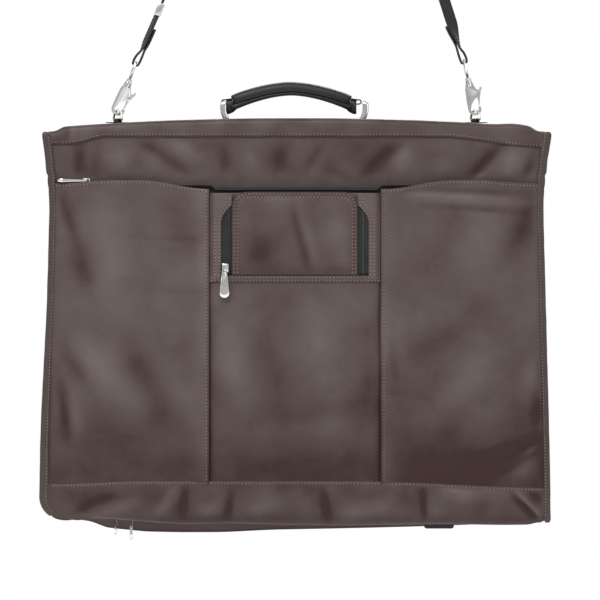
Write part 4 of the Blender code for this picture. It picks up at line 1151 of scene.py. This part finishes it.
def build_flap():
    low, high = FLAP_LOW, FLAP_HIGH
    v = np.linspace(0.0, 1.0, 44)[:, None]
    top = high.z + FLAP_RISE
    z = low.z + (top - low.z) * np.sin(v * np.pi / 2) ** 0.8
    drop = np.clip(1.0 - (top - z) / FLAP_CORNER, 0.0, 1.0)
    pull = FLAP_CORNER * (1.0 - np.sqrt(1.0 - drop**2))
    u = np.linspace(0.0, 1.0, 60)[None, :]
    x = low.x + pull + (high.x - low.x - 2.0 * pull) * u
    depth = flap_depth(x, z)
    # Painted light where the flap puffs out, painted shade where it lies flat.
    painted_shading = np.clip((depth + low.y - 1.2) * 0.2 + 0.02, -0.5, 0.4)
    obj = sheet("organizer_flap_leather", x, -depth, z, BROWN, 1.6, painted_shading)
    attach(obj, "organizer_flap", "brown_leather", "organizer_flap_panel")
    for inset in FLAP_ROWS:
        sew_face("organizer_flap", flap_edge(inset), flap_depth)
    build_organizer_tapes()


def build_organizer_tapes():
    """Both halves of the organizer's zip: tapes that show beside the flap, and the coil between them."""
    face = -(POCKET_FLAT + 2.3)
    fixed_low, fixed_high = span("organizer_zip_tape")
    moving_low, moving_high = span("organizer_flap_tape")
    fixed, moving = (fixed_low.z, TAPE_TOP, "front_case"), (moving_low.z, FLAP_TAPE_TOP, "organizer_flap")
    tapes = (
        ("organizer_tape_left", fixed_low.x, fixed_low.x + 11.4, *fixed),
        ("organizer_tape_right", fixed_high.x - 11.4, fixed_high.x, *fixed),
        ("flap_tape_left", moving_low.x, moving_low.x + 12.0, *moving),
        ("flap_tape_right", moving_high.x - 12.0, moving_high.x, *moving),
    )
    nodes = {"organizer_tape_left": "organizer_zip_tape", "flap_tape_left": "organizer_flap_tape"}
    for name, left, right, low, high, body in tapes:
        x = np.linspace(left, right, 8)[None, :]
        z = np.linspace(low, high, 30)[:, None]
        obj = sheet(name, x, face, z, TAPE, 0.9, edge=0.0)
        attach(obj, body, "zip_tape", *([nodes[name]] if name in nodes else []))
    levels = np.linspace(fixed_low.z + 1.0, TEETH_TOP, 60)
    for x, body, phase in (
        (fixed_low.x + 11.2, "front_case", 0.0),
        (moving_low.x - 0.2, "organizer_flap", 0.5),
        (fixed_high.x - 11.2, "front_case", 0.0),
        (moving_high.x + 0.2, "organizer_flap", 0.5),
    ):
        name = f"organizer_teeth_{'left' if x < 0 else 'right'}_{body}"
        path = place_points(x, face - 0.5, levels)
        teeth(name, path, (1, 0, 0), body, COIL, size=(1.3, 0.7, 0.7), pitch=2.2, phase=phase)


# ---------- spine ----------
def build_spine():
    build_spine_cover()
    for side in (-1, 1):
        build_wrap(side)


def build_spine_cover():
    """The spine's leather, with openings for the handle's rings and ends that turn down."""
    rings = [joint_at("handle_left_sway").x, joint_at("handle_right_sway").x]
    end = SPINE_END - 1.0
    xs = set(np.linspace(-end, end, 110).round(2))
    for at in rings:
        xs = {x for x in xs if abs(x - at) > 6.6} | {round(at - 5.2, 2), round(at + 5.2, 2), round(at, 2)}
    xs = np.array(sorted(xs))
    outer = np.array([10.0, 15.0, 24.0, 32.0, 38.0, 42.0, 44.0])
    ys = np.concatenate((-outer[::-1], [0.0], outer))
    x, y = np.meshgrid(xs, ys)
    fall = 2.2 * (np.abs(y) / 44.0) ** 6
    soft = 0.6 * lumps(x, y, 40.0, 9)
    z = spine_top(x) - fall - 0.2 + soft * smooth((44.0 - np.abs(y)) / 10.0)
    down = smooth((np.abs(x) - (end - 4.0)) / 4.0) * smooth((42.5 - np.abs(y)) / 2.0)
    z = z - 7.0 * down
    points = place_points(x, y, z)
    faces = []
    for face in grid_faces(*x.shape):
        centre = points.reshape(-1, 3)[list(face)].mean(0)
        open_here = any(abs(centre[0] - at) < 5.2 for at in rings) and abs(centre[1]) < 15.0
        if not open_here:
            faces.append(face)
    # Painted light and shade following the leather's lumps.
    painted_shading = np.clip(soft * 0.3 - 0.02, -0.4, 0.4)
    obj = new_object("spine_leather", points, faces, BROWN, painted_shading)
    clear_loose(obj)
    thicken(obj, 1.9)
    attach(obj, "spine", "brown_leather", "spine_cover")


def clear_loose(obj):
    with editing(obj.data) as bm:
        loose = [v for v in bm.verts if not v.link_faces]
        bmesh.ops.delete(bm, geom=loose, context="VERTS")


def wrap_edge(x):
    """The lower edge of a case's top strip, which steps down towards the bindings."""
    return 474.8 - 9.4 * smooth((-x - 226.0) / 52.0) - 13.4 * smooth((x - 170.0) / 128.0)


def build_wrap(side):
    """The strip across a case's top, rolled over the fold on to the spine."""
    case = "front" if side < 0 else "rear"
    half = SPINE_END + 0.4
    x = np.linspace(-half, half, 170)[None, :]
    edge = wrap_edge(x)
    top = spine_top(x) + 0.9
    roll = 6.5
    face = CASE_FACE + 2.9 - 1.2 * smooth((np.abs(x) - half + 8.0) / 6.0)
    rows = []
    for t in np.linspace(0.0, 1.0, 9):
        rows.append((face + 0.5 * math.sin(math.pi * t) + 0.0 * x, edge + (top - roll - edge) * t))
    for angle in np.radians(np.linspace(12.0, 90.0, 8)):
        rows.append((face - roll + roll * math.cos(angle) + 0.0 * x, top - roll + roll * math.sin(angle)))
    rows.append((face - roll - 2.5 + 0.0 * x, top - 0.1))
    depth = np.concatenate([r[0] for r in rows])
    z = np.concatenate([r[1] for r in rows])
    x = np.broadcast_to(x, z.shape)
    soft = 0.55 * lumps(x, z, 30.0, 11 + side)
    depth = depth + soft
    pleats = 0.7 * hill(x, -272.0, 9.0) * np.sin((x + 272.0) / 2.6) * smooth((z - edge) / 12.0)
    depth = depth + pleats
    # Painted light and shade following the lumps and the pleats, and painted shade along the strip's lower
    # edge.
    painted_shading = np.clip(-0.02 + soft * 0.3 + pleats * 0.3 - 0.2 * smooth((edge + 5.0 - z) / 5.0), -0.5, 0.4)
    order = slice(None) if side < 0 else slice(None, None, -1)
    x, y, z, painted_shading = (grid[:, order] for grid in (x, side * depth, z, painted_shading))
    obj = sheet(f"{case}_top_wrap", x, y, z, BROWN, 1.7, painted_shading)
    y = side * FOLD.y
    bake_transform(obj)
    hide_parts(f"{case}_top_band")
    xs = np.linspace(3.0 - half, half - 3.0, 400)
    flat = CASE_FACE + 3.1
    sew_face(f"{case}_case", np.stack((xs, wrap_edge(xs) + 2.8), -1), lambda a, b: flat + 0.0 * a, side=side)


def put(point):
    return Vector(point) * MM + ORIGIN


# ---------- parts taken from the frame ----------
def refined(node, body, material, slot, edge=0.3, subdivide=0, angle=32.0):
    """A finer copy of a hard part: welded, its edges rounded and its curves smoothed."""
    fresh = bpy.data.meshes.new(f"{node}_finish")
    bm = bmesh.new()
    bm.from_mesh(frame["nodes"][node].data)
    bmesh.ops.remove_doubles(bm, verts=bm.verts, dist=1e-6)
    bmesh.ops.dissolve_limit(bm, angle_limit=math.radians(1.0), verts=bm.verts, edges=bm.edges)
    bmesh.ops.recalc_face_normals(bm, faces=bm.faces)
    bm.to_mesh(fresh)
    bm.free()
    fresh.materials.append(material)
    obj = link_new(f"{node}_finish", fresh)
    if edge:
        rim = obj.modifiers.new("rim", "BEVEL")
        rim.width = edge * MM
        rim.segments = 3
        rim.limit_method = "ANGLE"
        rim.angle_limit = math.radians(angle)
    if subdivide:
        finer = obj.modifiers.new("finer", "SUBSURF")
        finer.levels = subdivide
        finer.render_levels = subdivide
    settle(obj)
    obj.data.shade_smooth()
    obj.data.set_sharp_from_angle(angle=math.radians(40))
    return attach(obj, body, slot, node)


def turn_about(obj, joint):
    """Turns a D-ring or its tab a little about the upright line through the ring's joint."""
    centre = put(joint_at(joint))
    turn = Matrix.Rotation(math.radians(RING_TURN), 4, "Z")
    obj.data.transform(Matrix.Translation(centre) @ turn @ Matrix.Translation(-centre))


def widen(obj, share):
    """Widens a piece away from its left edge."""
    left = min(vert.co.x for vert in obj.data.vertices)
    for vert in obj.data.vertices:
        vert.co.x = left + (vert.co.x - left) * share


def build_hardware():
    for side in ("left", "right"):
        ring = refined(f"d_ring_{side}", f"d_ring_{side}", NICKEL, "nickel", edge=0, subdivide=2)
        turn_about(ring, f"d_ring_{side}_tilt")
        build_handle_ring(side)
        refined(f"swivel_eye_{side}", "strap", NICKEL, "nickel", edge=0.2, angle=60.0)
        refined(f"hook_{side}_body", f"hook_{side}", NICKEL, "nickel", edge=0.35)
        refined(f"hook_{side}_gate", f"gate_{side}", NICKEL, "nickel", edge=0.25)
        refined(f"handle_chape_{side}", "spine", BLACK, "black_leather", edge=0.3)
        tab = refined(f"strap_tab_{side}", "spine", BLACK, "black_leather", edge=0.3)
        turn_about(tab, f"d_ring_{side}_tilt")
    refined("hanging_hook", "hanging_hook", NICKEL, "nickel", edge=0.2, angle=60.0)
    parts = (
        ("strap_adjuster", "strap_adjuster", NICKEL, "nickel", 0.25),
        ("hanger_clamp", "hanger_clamp", NICKEL, "nickel", 0.2),
        ("hanger_bracket", "rear_case", NICKEL, "nickel", 0.2),
        ("hook_anchor_tab", "rear_case", TRIM, "brown_leather", 0.4),
        ("hook_keeper", "rear_case", BLACK, "black_leather", 0.4),
        ("zip_end_tab", "rear_case", BLACK, "black_leather", 0.3),
        ("spine_board", "spine", BOARD, "board", 0.4),
        ("hold_down_strap", "rear_case", WEBBING, "mesh", 0.3),
        ("hold_down_buckle", "rear_case", PLASTIC, "plastic", 0.6),
    )
    for part in parts:
        refined(*part)
    build_sliders()


def build_sliders():
    """The zips' sliders, each with its own pull."""
    pulls = (
        ("pocket", "pocket_pull_flip", 1.9, 1.2),
        ("organizer", "organizer_pull_flip", 1.8, 0.3),
        ("closure_left", "closure_left_pull_swing", 2.4, 0.4),
        ("closure_right", "closure_right_pull_swing", 2.4, 0.4),
    )
    for name, joint, thickness, swell in pulls:
        slider = refined(f"{name}_slider", f"{name}_slider", NICKEL, "nickel", edge=0.35)
        if name == "organizer":
            widen(slider, SLIDER_WIDER)
        build_pull(f"{name}_pull", joint, thickness, swell, PULL_LENGTHS.get(name, 1.0))


def teardrop(length, head, foot, hole, count):
    """A flat outline round a hole at the origin: a small round head above, a wide round foot below."""
    top = hole - head
    low = foot - (length - hole)
    lean = math.degrees(math.asin((foot - head) / (top - low)))
    upper = arc((0.0, top), head, lean, 180.0 - lean, 14)
    lower = arc((0.0, low), foot, 180.0 - lean, 360.0 + lean, 20)
    return even(np.concatenate((upper, lower, upper[:1])), (length * 2.0 + foot * 2.0) / count)[:-1]


def build_pull(node, joint, thickness, swell, share):
    """A zip's pull: a tapered plate, thicker at its foot, with a raised rim and a hole for the bail."""
    low, high = (np.array(corner) for corner in span(node))
    size = high - low
    thin, wide, long = np.argsort(size)
    middle = (low + high) / 2
    down = math.copysign(1.0, middle[long] - joint_at(joint)[long])
    head = middle.copy()
    head[long] -= down * size[long] / 2
    hole = 4.0
    size[long] = size[long] * share
    outline = teardrop(size[long], 2.9, size[wide] / 2 + 0.8, hole, 56)
    angle = np.arctan2(outline[:, 1], outline[:, 0])
    eye = np.stack((1.5 * np.cos(angle), 2.1 * np.sin(angle)), -1)
    half = thickness / 2
    rings = []
    for face in (1, -1):
        for t, lift in PULL_PROFILE[::face]:
            flat = eye + (outline - eye) * t
            ring = np.zeros((len(flat), 3))
            ring[:, wide] = flat[:, 0]
            ring[:, long] = down * (hole - flat[:, 1])
            ring[:, thin] = face * half * lift * (1.0 + swell * smooth(-flat[:, 1] / size[long]))
            rings.append(ring + head)
    obj = loft(f"{node}_plate", rings, NICKEL, closed=True)
    obj.data.set_sharp_from_angle(angle=math.radians(50))
    attach(obj, node, "nickel", node)


# ---------- handle ----------
def build_handle_ring(side):
    """A rectangular ring whose upright bars are broad and bowed outwards."""
    node = f"handle_ring_{side}"
    hand = -1 if side == "left" else 1
    wire = 1.6
    foot = joint_at(f"handle_{side}_sway")
    grip = joint_at("handle_grip_pivot")
    lean = grip - joint_at("handle_left_sway")
    along = Vector((abs(lean.x) * hand, 0.0, lean.z)).normalized()
    out = Vector((along.z * hand, 0.0, -along.x * hand))
    reach_up = lean.length + RING_ABOVE_PIVOT
    half = span(node)[1].y - wire
    turn = 3.0
    side, top = half - turn, reach_up - turn
    corners = (side, turn, -90.0), (side, top, 0.0), (-side, top, 90.0), (-side, turn, 180.0)
    flat = np.concatenate([arc((y, v), turn, start, start + 90.0, 6) for y, v, start in corners])
    flat = even(np.concatenate((flat, flat[:1])), 1.3)[:-1]
    upright = smooth((np.abs(flat[:, 0]) - half + 2.8) / 2.4)
    bow = 2.3 * upright * np.sin(np.pi * np.clip(flat[:, 1] / reach_up, 0.0, 1.0))
    path = np.array(foot) + flat[:, :1] * np.array((0.0, 1.0, 0.0)) + flat[:, 1:] * np.array(along)
    path = path + bow[:, None] * np.array(out)
    size = np.stack((wire + 1.9 * upright, np.full(len(path), wire - 0.1)), -1)
    section = oval(1.0, 1.0, 2.4, 16)[None] * size[:, None]
    obj = loft(f"{node}_bowed", carry(path, section, out, closed=True), NICKEL, closed=True)
    attach(obj, node, "nickel", node)


def build_handle():
    """The padded grip: a rolled upper ply, a flat lower ply, and end loops round the rings' upper bars."""
    left = joint_at("handle_grip_pivot")
    right = Vector((left.x + joint_at("handle_right_sway").x - joint_at("handle_left_sway").x, 0.0, left.z))
    middle = (left.x + right.x) / 2
    half = (right.x - left.x) / 2
    peak = span("handle_grip")[1].z - 5.3

    def line(start, end, count, drop=0.0):
        x = left.x + (right.x - left.x) * np.linspace(start, end, count)
        z = peak - (peak - left.z) * np.minimum(1.0, np.abs(x - middle) / half) ** 1.7 - drop
        return place_points(x, 0.0, z)

    path = line(0.062, 0.938, 64, -0.6)
    swell = swell_of(64)
    size = np.stack((0.55 + 0.45 * swell, 0.82 + 0.18 * swell), -1)
    section = oval(11.6, 7.2, 2.5, 28)[None] * size[:, None]
    roll = loft("handle_upper_ply", carry(path, section, (0, 1, 0)), BLACK)
    attach(roll, "handle_grip", "black_leather", "handle_grip")
    end = np.linspace(-1.0, 1.0, 60) ** 2
    lower = line(0.05, 0.95, 60, 6.6 + 1.3 * end)
    narrow = 0.62 + 0.38 * swell_of(60)
    section = oval(10.4, 1.0, 4.0, 20)[None] * np.stack((narrow, 2.3 + 1.4 * end), -1)[:, None]
    ply = loft("handle_lower_ply", carry(lower, section, (0, 1, 0)), BLACK)
    attach(ply, "handle_grip", "black_leather")
    for hand in (-1, 1):
        edge = line(0.066, 0.934, 60, 3.4)
        edge[:, 1] = hand * (11.0 * (0.55 + 0.45 * swell_of(60)))
        rings = carry(edge, oval(0.9, 0.9, 2.0, 8), (0, 1, 0))
        piping = loft(f"handle_piping_{'front' if hand < 0 else 'back'}", rings, EDGE)
        attach(piping, "handle_grip", "black_leather")
        low = line(0.07, 0.93, 60, 6.6)
        low[:, 1] = hand * (10.4 * narrow)
        sew("handle_grip", low, (0, hand, 0.0), thread="black")
    for bar, hand, name in ((left, 1, "left"), (right, -1, "right")):
        build_end_loop(bar, hand, name)


def swell_of(count):
    t = np.linspace(-1.0, 1.0, count)
    return np.sqrt(np.clip(1.0 - np.abs(t) ** 9, 0.02, 1.0))


def build_end_loop(bar, hand, name):
    """The grip's solid end: a thick leather loop round a ring's bar, whose two plies close into a block."""
    turn = arc((-0.6, RING_ABOVE_PIVOT - 0.2), 2.5, 90.0, 270.0, 16)
    upper = np.array([[11.0, 7.4], [8.0, 6.8], [3.6, 6.0]])
    lower = np.array([[3.6, 0.4], [8.0, -0.6], [11.0, -0.4]])
    path = np.concatenate((upper, turn, lower))
    points = place_points(bar.x + hand * path[:, 0], 0.0, bar.z + path[:, 1])
    obj = loft(f"handle_end_loop_{name}", carry(points, oval(7.6, 0.8, 4.0, 24), (0, 1, 0)), BLACK)
    attach(obj, "handle_grip", "black_leather")
    block = np.array([[2.6, -3.0], [4.0, -3.0], [7.0, -2.0], [10.0, -0.9], [12.0, 0.0]])
    points = place_points(bar.x + hand * block[:, 0], 0.0, bar.z + block[:, 1])
    height = np.array([8.4, 8.8, 8.4, 7.6, 6.6])
    section = oval(7.0, 1.0, 4.0, 24)[None] * np.stack((np.ones(5), height), -1)[:, None]
    core = loft(f"handle_end_core_{name}", carry(points, section, (0, 1, 0)), BLACK)
    attach(core, "handle_grip", "black_leather")
    spot = np.array([[bar.x + hand * 3.4, -7.2, bar.z - 0.4], [bar.x + hand * 11.0, -7.2, bar.z + 4.3]])
    sew("handle_grip", spot, (0, -1.0, 0), pitch=2.6)


# ---------- shoulder strap ----------
def strap_line():
    """The strap's middle line: up from the left hook's eye, over a round top and down to the right eye."""
    left_eye, right_eye = span("swivel_eye_left"), span("swivel_eye_right")
    wire = 1.5
    left = Vector((left_eye[1].x - wire, left_eye[1].z - wire))
    right = Vector((right_eye[0].x + wire, right_eye[1].z - wire))
    pad_low, pad_high = span("shoulder_pad")
    radius = 150.0
    centre = Vector(((pad_low.x + pad_high.x) / 2, span("shoulder_strap")[1].z - 1.5 - radius))
    legs = []
    for eye, hand in ((left, 1), (right, -1)):
        to = centre - eye
        heading = math.atan2(hand * to.x, to.y) - math.asin(radius / to.length)
        legs.append(heading)
    return left, right, centre, radius, legs


def end_loop(eye, heading, hand):
    """The strap's end, folded round a hook's eye and laid back on itself."""
    ring = 3.9
    turn = [(ring * math.cos(a), ring * math.sin(a)) for a in np.radians(np.linspace(10.0, -190.0, 15))]
    down = [(3.5, v) for v in np.linspace(46.0, 16.0, 8)] + [(ring, 10.0)]
    local = down + turn + [(-3.4, 8.0), (-1.6, 12.5)]
    along = Vector((math.sin(heading), math.cos(heading)))
    across = Vector((along.y, -along.x))
    return [
        (eye.x + hand * (u * across.x + v * along.x), eye.y + u * across.y + v * along.y) for u, v in local
    ]


def twisted(points):
    """Turns each leg of the strap about its own line, more or less face on, between its ends."""
    points = np.array(points, float)
    left, right, *_, legs = strap_line()
    for eye, hand, heading in ((left, -1, legs[0]), (right, 1, legs[1])):
        turn, start, full, hold, end = LEG_TWISTS[hand]
        base = np.array((eye.x, 0.0, eye.y))
        along = np.array((-hand * math.sin(heading), 0.0, math.cos(heading)))
        away = points - base
        run = away @ along
        amount = smooth((run - start) / (full - start)) * smooth((end - run) / (end - hold))
        angle = np.where(points[..., 0] * hand > 0.0, math.radians(turn) * amount, 0.0)[..., None]
        off = away - run[..., None] * along
        points = base + run[..., None] * along + off * np.cos(angle) + np.cross(along, off) * np.sin(angle)
    return points


def build_strap():
    left, right, centre, radius, legs = strap_line()
    headings = np.linspace(legs[0], math.pi - legs[1], 70)
    top = np.stack((centre.x - radius * np.cos(headings), centre.y + radius * np.sin(headings)), -1)
    first, last = np.array(end_loop(left, legs[0], 1)), np.array(end_loop(right, legs[1], -1))[::-1]
    rise = np.linspace(left_start(left, legs[0], 1), top[0], 30)[:-1]
    fall = np.linspace(top[-1], left_start(right, legs[1], -1), 30)[1:]
    flat = np.concatenate((first, rise, top, fall, last))
    path = place_points(flat[:, 0], 0.0, flat[:, 1])
    half, thick = span("shoulder_strap")[1].y - 0.3, 1.35
    path = even(path, 4.0)
    strap = loft("strap_band", twisted(carry(path, oval(half, thick, 5.0, 24), (0, 1, 0))), BLACK)
    attach(strap, "strap", "black_leather", "shoulder_strap")
    pivot = np.array((centre.x, 0.0, centre.y - 60.0))
    leg = np.concatenate((rise, top, fall))
    leg = even(place_points(leg[:, 0], 0.0, leg[:, 1]), STITCH_PITCH)
    out = unit(leg - pivot)
    for hand in (-1, 1):
        edge = leg + out * thick
        edge[:, 1] = hand * (half - 2.4)
        sew("strap", edge, lambda p: (p - pivot) * (1, 0, 1), thread="black")
    for key in (("strap", "black"), ("strap", "hole")):
        SEWN[key] = [twisted(group) for group in SEWN[key]]
    build_pad(centre, radius)


def left_start(eye, heading, hand):
    along = Vector((math.sin(heading), math.cos(heading)))
    return np.array((eye.x + hand * 17.0 * along.x, eye.y + 17.0 * along.y))


def build_pad(centre, radius):
    """The shoulder pad: a thick quilted strip with rounded ends and a stitched border."""
    reach_angle = math.radians(47.0)
    count = 90
    headings = np.linspace(math.pi / 2 - reach_angle, math.pi / 2 + reach_angle, count)
    inner = radius - 6.0
    path = place_points(centre.x - inner * np.cos(headings), 0.0, centre.y + inner * np.sin(headings))
    t = np.linspace(-1.0, 1.0, count)
    wide = 21.6 * (1.0 - 0.42 * np.abs(t) ** 14)
    thick = 3.7 * np.sqrt(np.clip(1.0 - np.abs(t) ** 16, 0.03, 1.0)) + 0.12 * np.cos(t * 40.0)
    section = oval(1.0, 1.0, 3.2, 32)[None] * np.stack((wide, thick), -1)[:, None]
    pad = loft("shoulder_pad_quilted", carry(path, section, (0, 1, 0)), BLACK)
    attach(pad, "strap", "black_leather", "shoulder_pad")
    outer = place_points(-np.cos(headings), 0.0, np.sin(headings))
    hub = np.array((centre.x, 0.0, centre.y))
    for hand in (-1, 1):
        for face in (-1, 1):
            row = path + outer * face * (thick[:, None] - 0.25)
            row[:, 1] = hand * (wide - 4.2)
            sew("strap", row[3:-3], lambda p, face=face: face * (p - hub) * (1, 0, 1), thread="black")
    for hand in (-1, 1):
        middle = math.pi / 2 + hand * math.radians(36.0)
        build_keeper(centre, radius, middle, "left" if hand < 0 else "right")


def build_keeper(centre, radius, heading, name):
    """A leather loop that holds the pad on the strap."""
    out = np.array((-math.cos(heading), 0.0, math.sin(heading)))
    at = np.array((centre.x, 0.0, centre.y)) + out * radius
    loop = oval(12.4, 3.9, 5.0, 28)
    path = at + loop[:, :1] * np.array((0.0, 1.0, 0.0)) + loop[:, 1:] * out
    along = np.array((math.sin(heading), 0.0, math.cos(heading)))
    rings = carry(path, oval(6.4, 0.8, 4.0, 16), along, closed=True)
    obj = loft(f"pad_keeper_{name}", rings, BLACK, closed=True)
    attach(obj, "strap", "black_leather")


# ---------- inside ----------
def lining_depth(x, z):
    """The lining hangs a little further in near the top, behind the leather's folds."""
    return CASE_FACE - 3.0 - 3.4 * smooth((z - 372.0) / 26.0) - 0.5 * lumps(x, z, 38.0, 12)


def build_linings():
    for side, case in ((-1, "front"), (1, "rear")):
        shell = case_shell(
            f"{case}_lining_cloth", side, lining_depth, LINING,
            inset=5.6, lip=CASE_LIP + 2.0, step=9.0, thickness=0.8, slack=1.2,
        )
        attach(shell, f"{case}_case", "lining", f"{case}_lining")
    low, high = span("mesh_pocket")
    u = np.linspace(0.0, 1.0, 60)[None, :]
    v = np.linspace(0.0, 1.0, 34)[:, None]
    x = high.x + (low.x - high.x) * u
    z = low.z + (high.z - low.z) * v
    y = low.y + 0.5 + 5.0 * np.sin(np.pi * u) * v + 0.5 * lumps(x, z, 20.0, 13)
    obj = sheet("mesh_pocket_net", x, y, z, NET, 0.7, edge=0.0)
    attach(obj, "front_case", "mesh", "mesh_pocket")


def build_rear():
    shell = case_shell("rear_shell", 1, rear_depth, BROWN)
    attach(shell, "rear_case", "brown_leather", "rear_panel")


# ---------- studio ----------
def build_world():
    world = bpy.data.worlds.new("studio")
    bpy.context.scene.world = world
    world.use_nodes = True
    tree = world.node_tree
    backdrop = tree.nodes["Background"]
    backdrop.inputs["Color"].default_value = (1.0, 1.0, 1.0, 1.0)
    ambient = tree.nodes.new("ShaderNodeBackground")
    coordinates = tree.nodes.new("ShaderNodeTexCoord")
    split = tree.nodes.new("ShaderNodeSeparateXYZ")
    tree.links.new(coordinates.outputs["Generated"], split.inputs[0])
    strength = spread(tree, split.outputs["Z"], 0.10, 0.62, -0.6, 0.8)
    rays = tree.nodes.new("ShaderNodeLightPath")
    brighter = spread(tree, rays.outputs["Is Glossy Ray"], 1.0, 1.7)
    tree.links.new(calculate(tree, "MULTIPLY", strength, brighter), ambient.inputs["Strength"])
    choose = tree.nodes.new("ShaderNodeMixShader")
    tree.links.new(rays.outputs["Is Camera Ray"], choose.inputs[0])
    tree.links.new(ambient.outputs[0], choose.inputs[1])
    tree.links.new(backdrop.outputs[0], choose.inputs[2])
    tree.links.new(choose.outputs[0], tree.nodes["World Output"].inputs[0])


def add_light(name, place, size, power):
    data = bpy.data.lights.new(name, "AREA")
    data.shape = "RECTANGLE"
    data.size, data.size_y = size
    data.energy = power
    lamp = link_new(name, data)
    lamp.location = place
    lamp.rotation_euler = (Vector(LIGHT_AIM) - Vector(place)).to_track_quat("-Z", "Y").to_euler()


def build_studio():
    build_world()
    bpy.context.scene.view_settings.view_transform = "Standard"
    add_light("key", (-0.9, -2.2, 2.3), (2.2, 1.0), 62.0)
    add_light("fill", (2.2, -2.0, 0.9), (0.8, 1.6), 9.0)
    add_light("back", (0.8, 2.4, 2.2), (2.0, 1.0), 52.0)
    build_floor()
    build_camera()


def build_floor():
    """A wide pale disc that glows a little, so that it meets the white backdrop softly."""
    bm = bmesh.new()
    bmesh.ops.create_circle(bm, cap_ends=True, segments=96, radius=8.0)
    mesh = bpy.data.meshes.new("floor")
    bm.to_mesh(mesh)
    bm.free()
    floor = link_new("floor", mesh)
    floor.location.z = FLOOR_LEVEL
    mat, tree, shader, place = start_material("floor")
    tint = noise_node(tree, place, 3.0, 2.0)
    pale = blend_colour(tree, tint, (0.84, 0.84, 0.84), (0.87, 0.87, 0.87))
    tree.links.new(pale, shader.inputs["Base Color"])
    shader.inputs["Roughness"].default_value = 0.8
    shader.inputs["Emission Color"].default_value = (1.0, 1.0, 1.0, 1.0)
    shader.inputs["Emission Strength"].default_value = 0.32
    mesh.materials.append(mat)


def build_camera():
    lens = bpy.data.cameras.new("camera")
    camera = link_new("camera", lens)
    lens.sensor_width = SENSOR
    lens.lens = SENSOR * VIEW_FAR / (VIEW_WIDTH * MM)
    lens.clip_end = 100.0
    aim = put((VIEW_CENTRE[0], -POCKET_FLAT, VIEW_CENTRE[1]))
    camera.location = aim - Vector((0.0, VIEW_FAR, 0.0))
    camera.rotation_euler = (math.pi / 2, 0.0, 0.0)
    bpy.context.scene.camera = camera


def main():
    build_front_face()
    build_pocket()
    build_organizer()
    build_rear()
    for side in (-1, 1):
        build_bindings(side)
        build_closure(side)
    build_spine()
    build_linings()
    build_hardware()
    build_handle()
    build_strap()
    finish_sewing({"tan": TAN_THREAD, "black": BLACK_THREAD, "hole": EDGE})
    build_studio()


main()
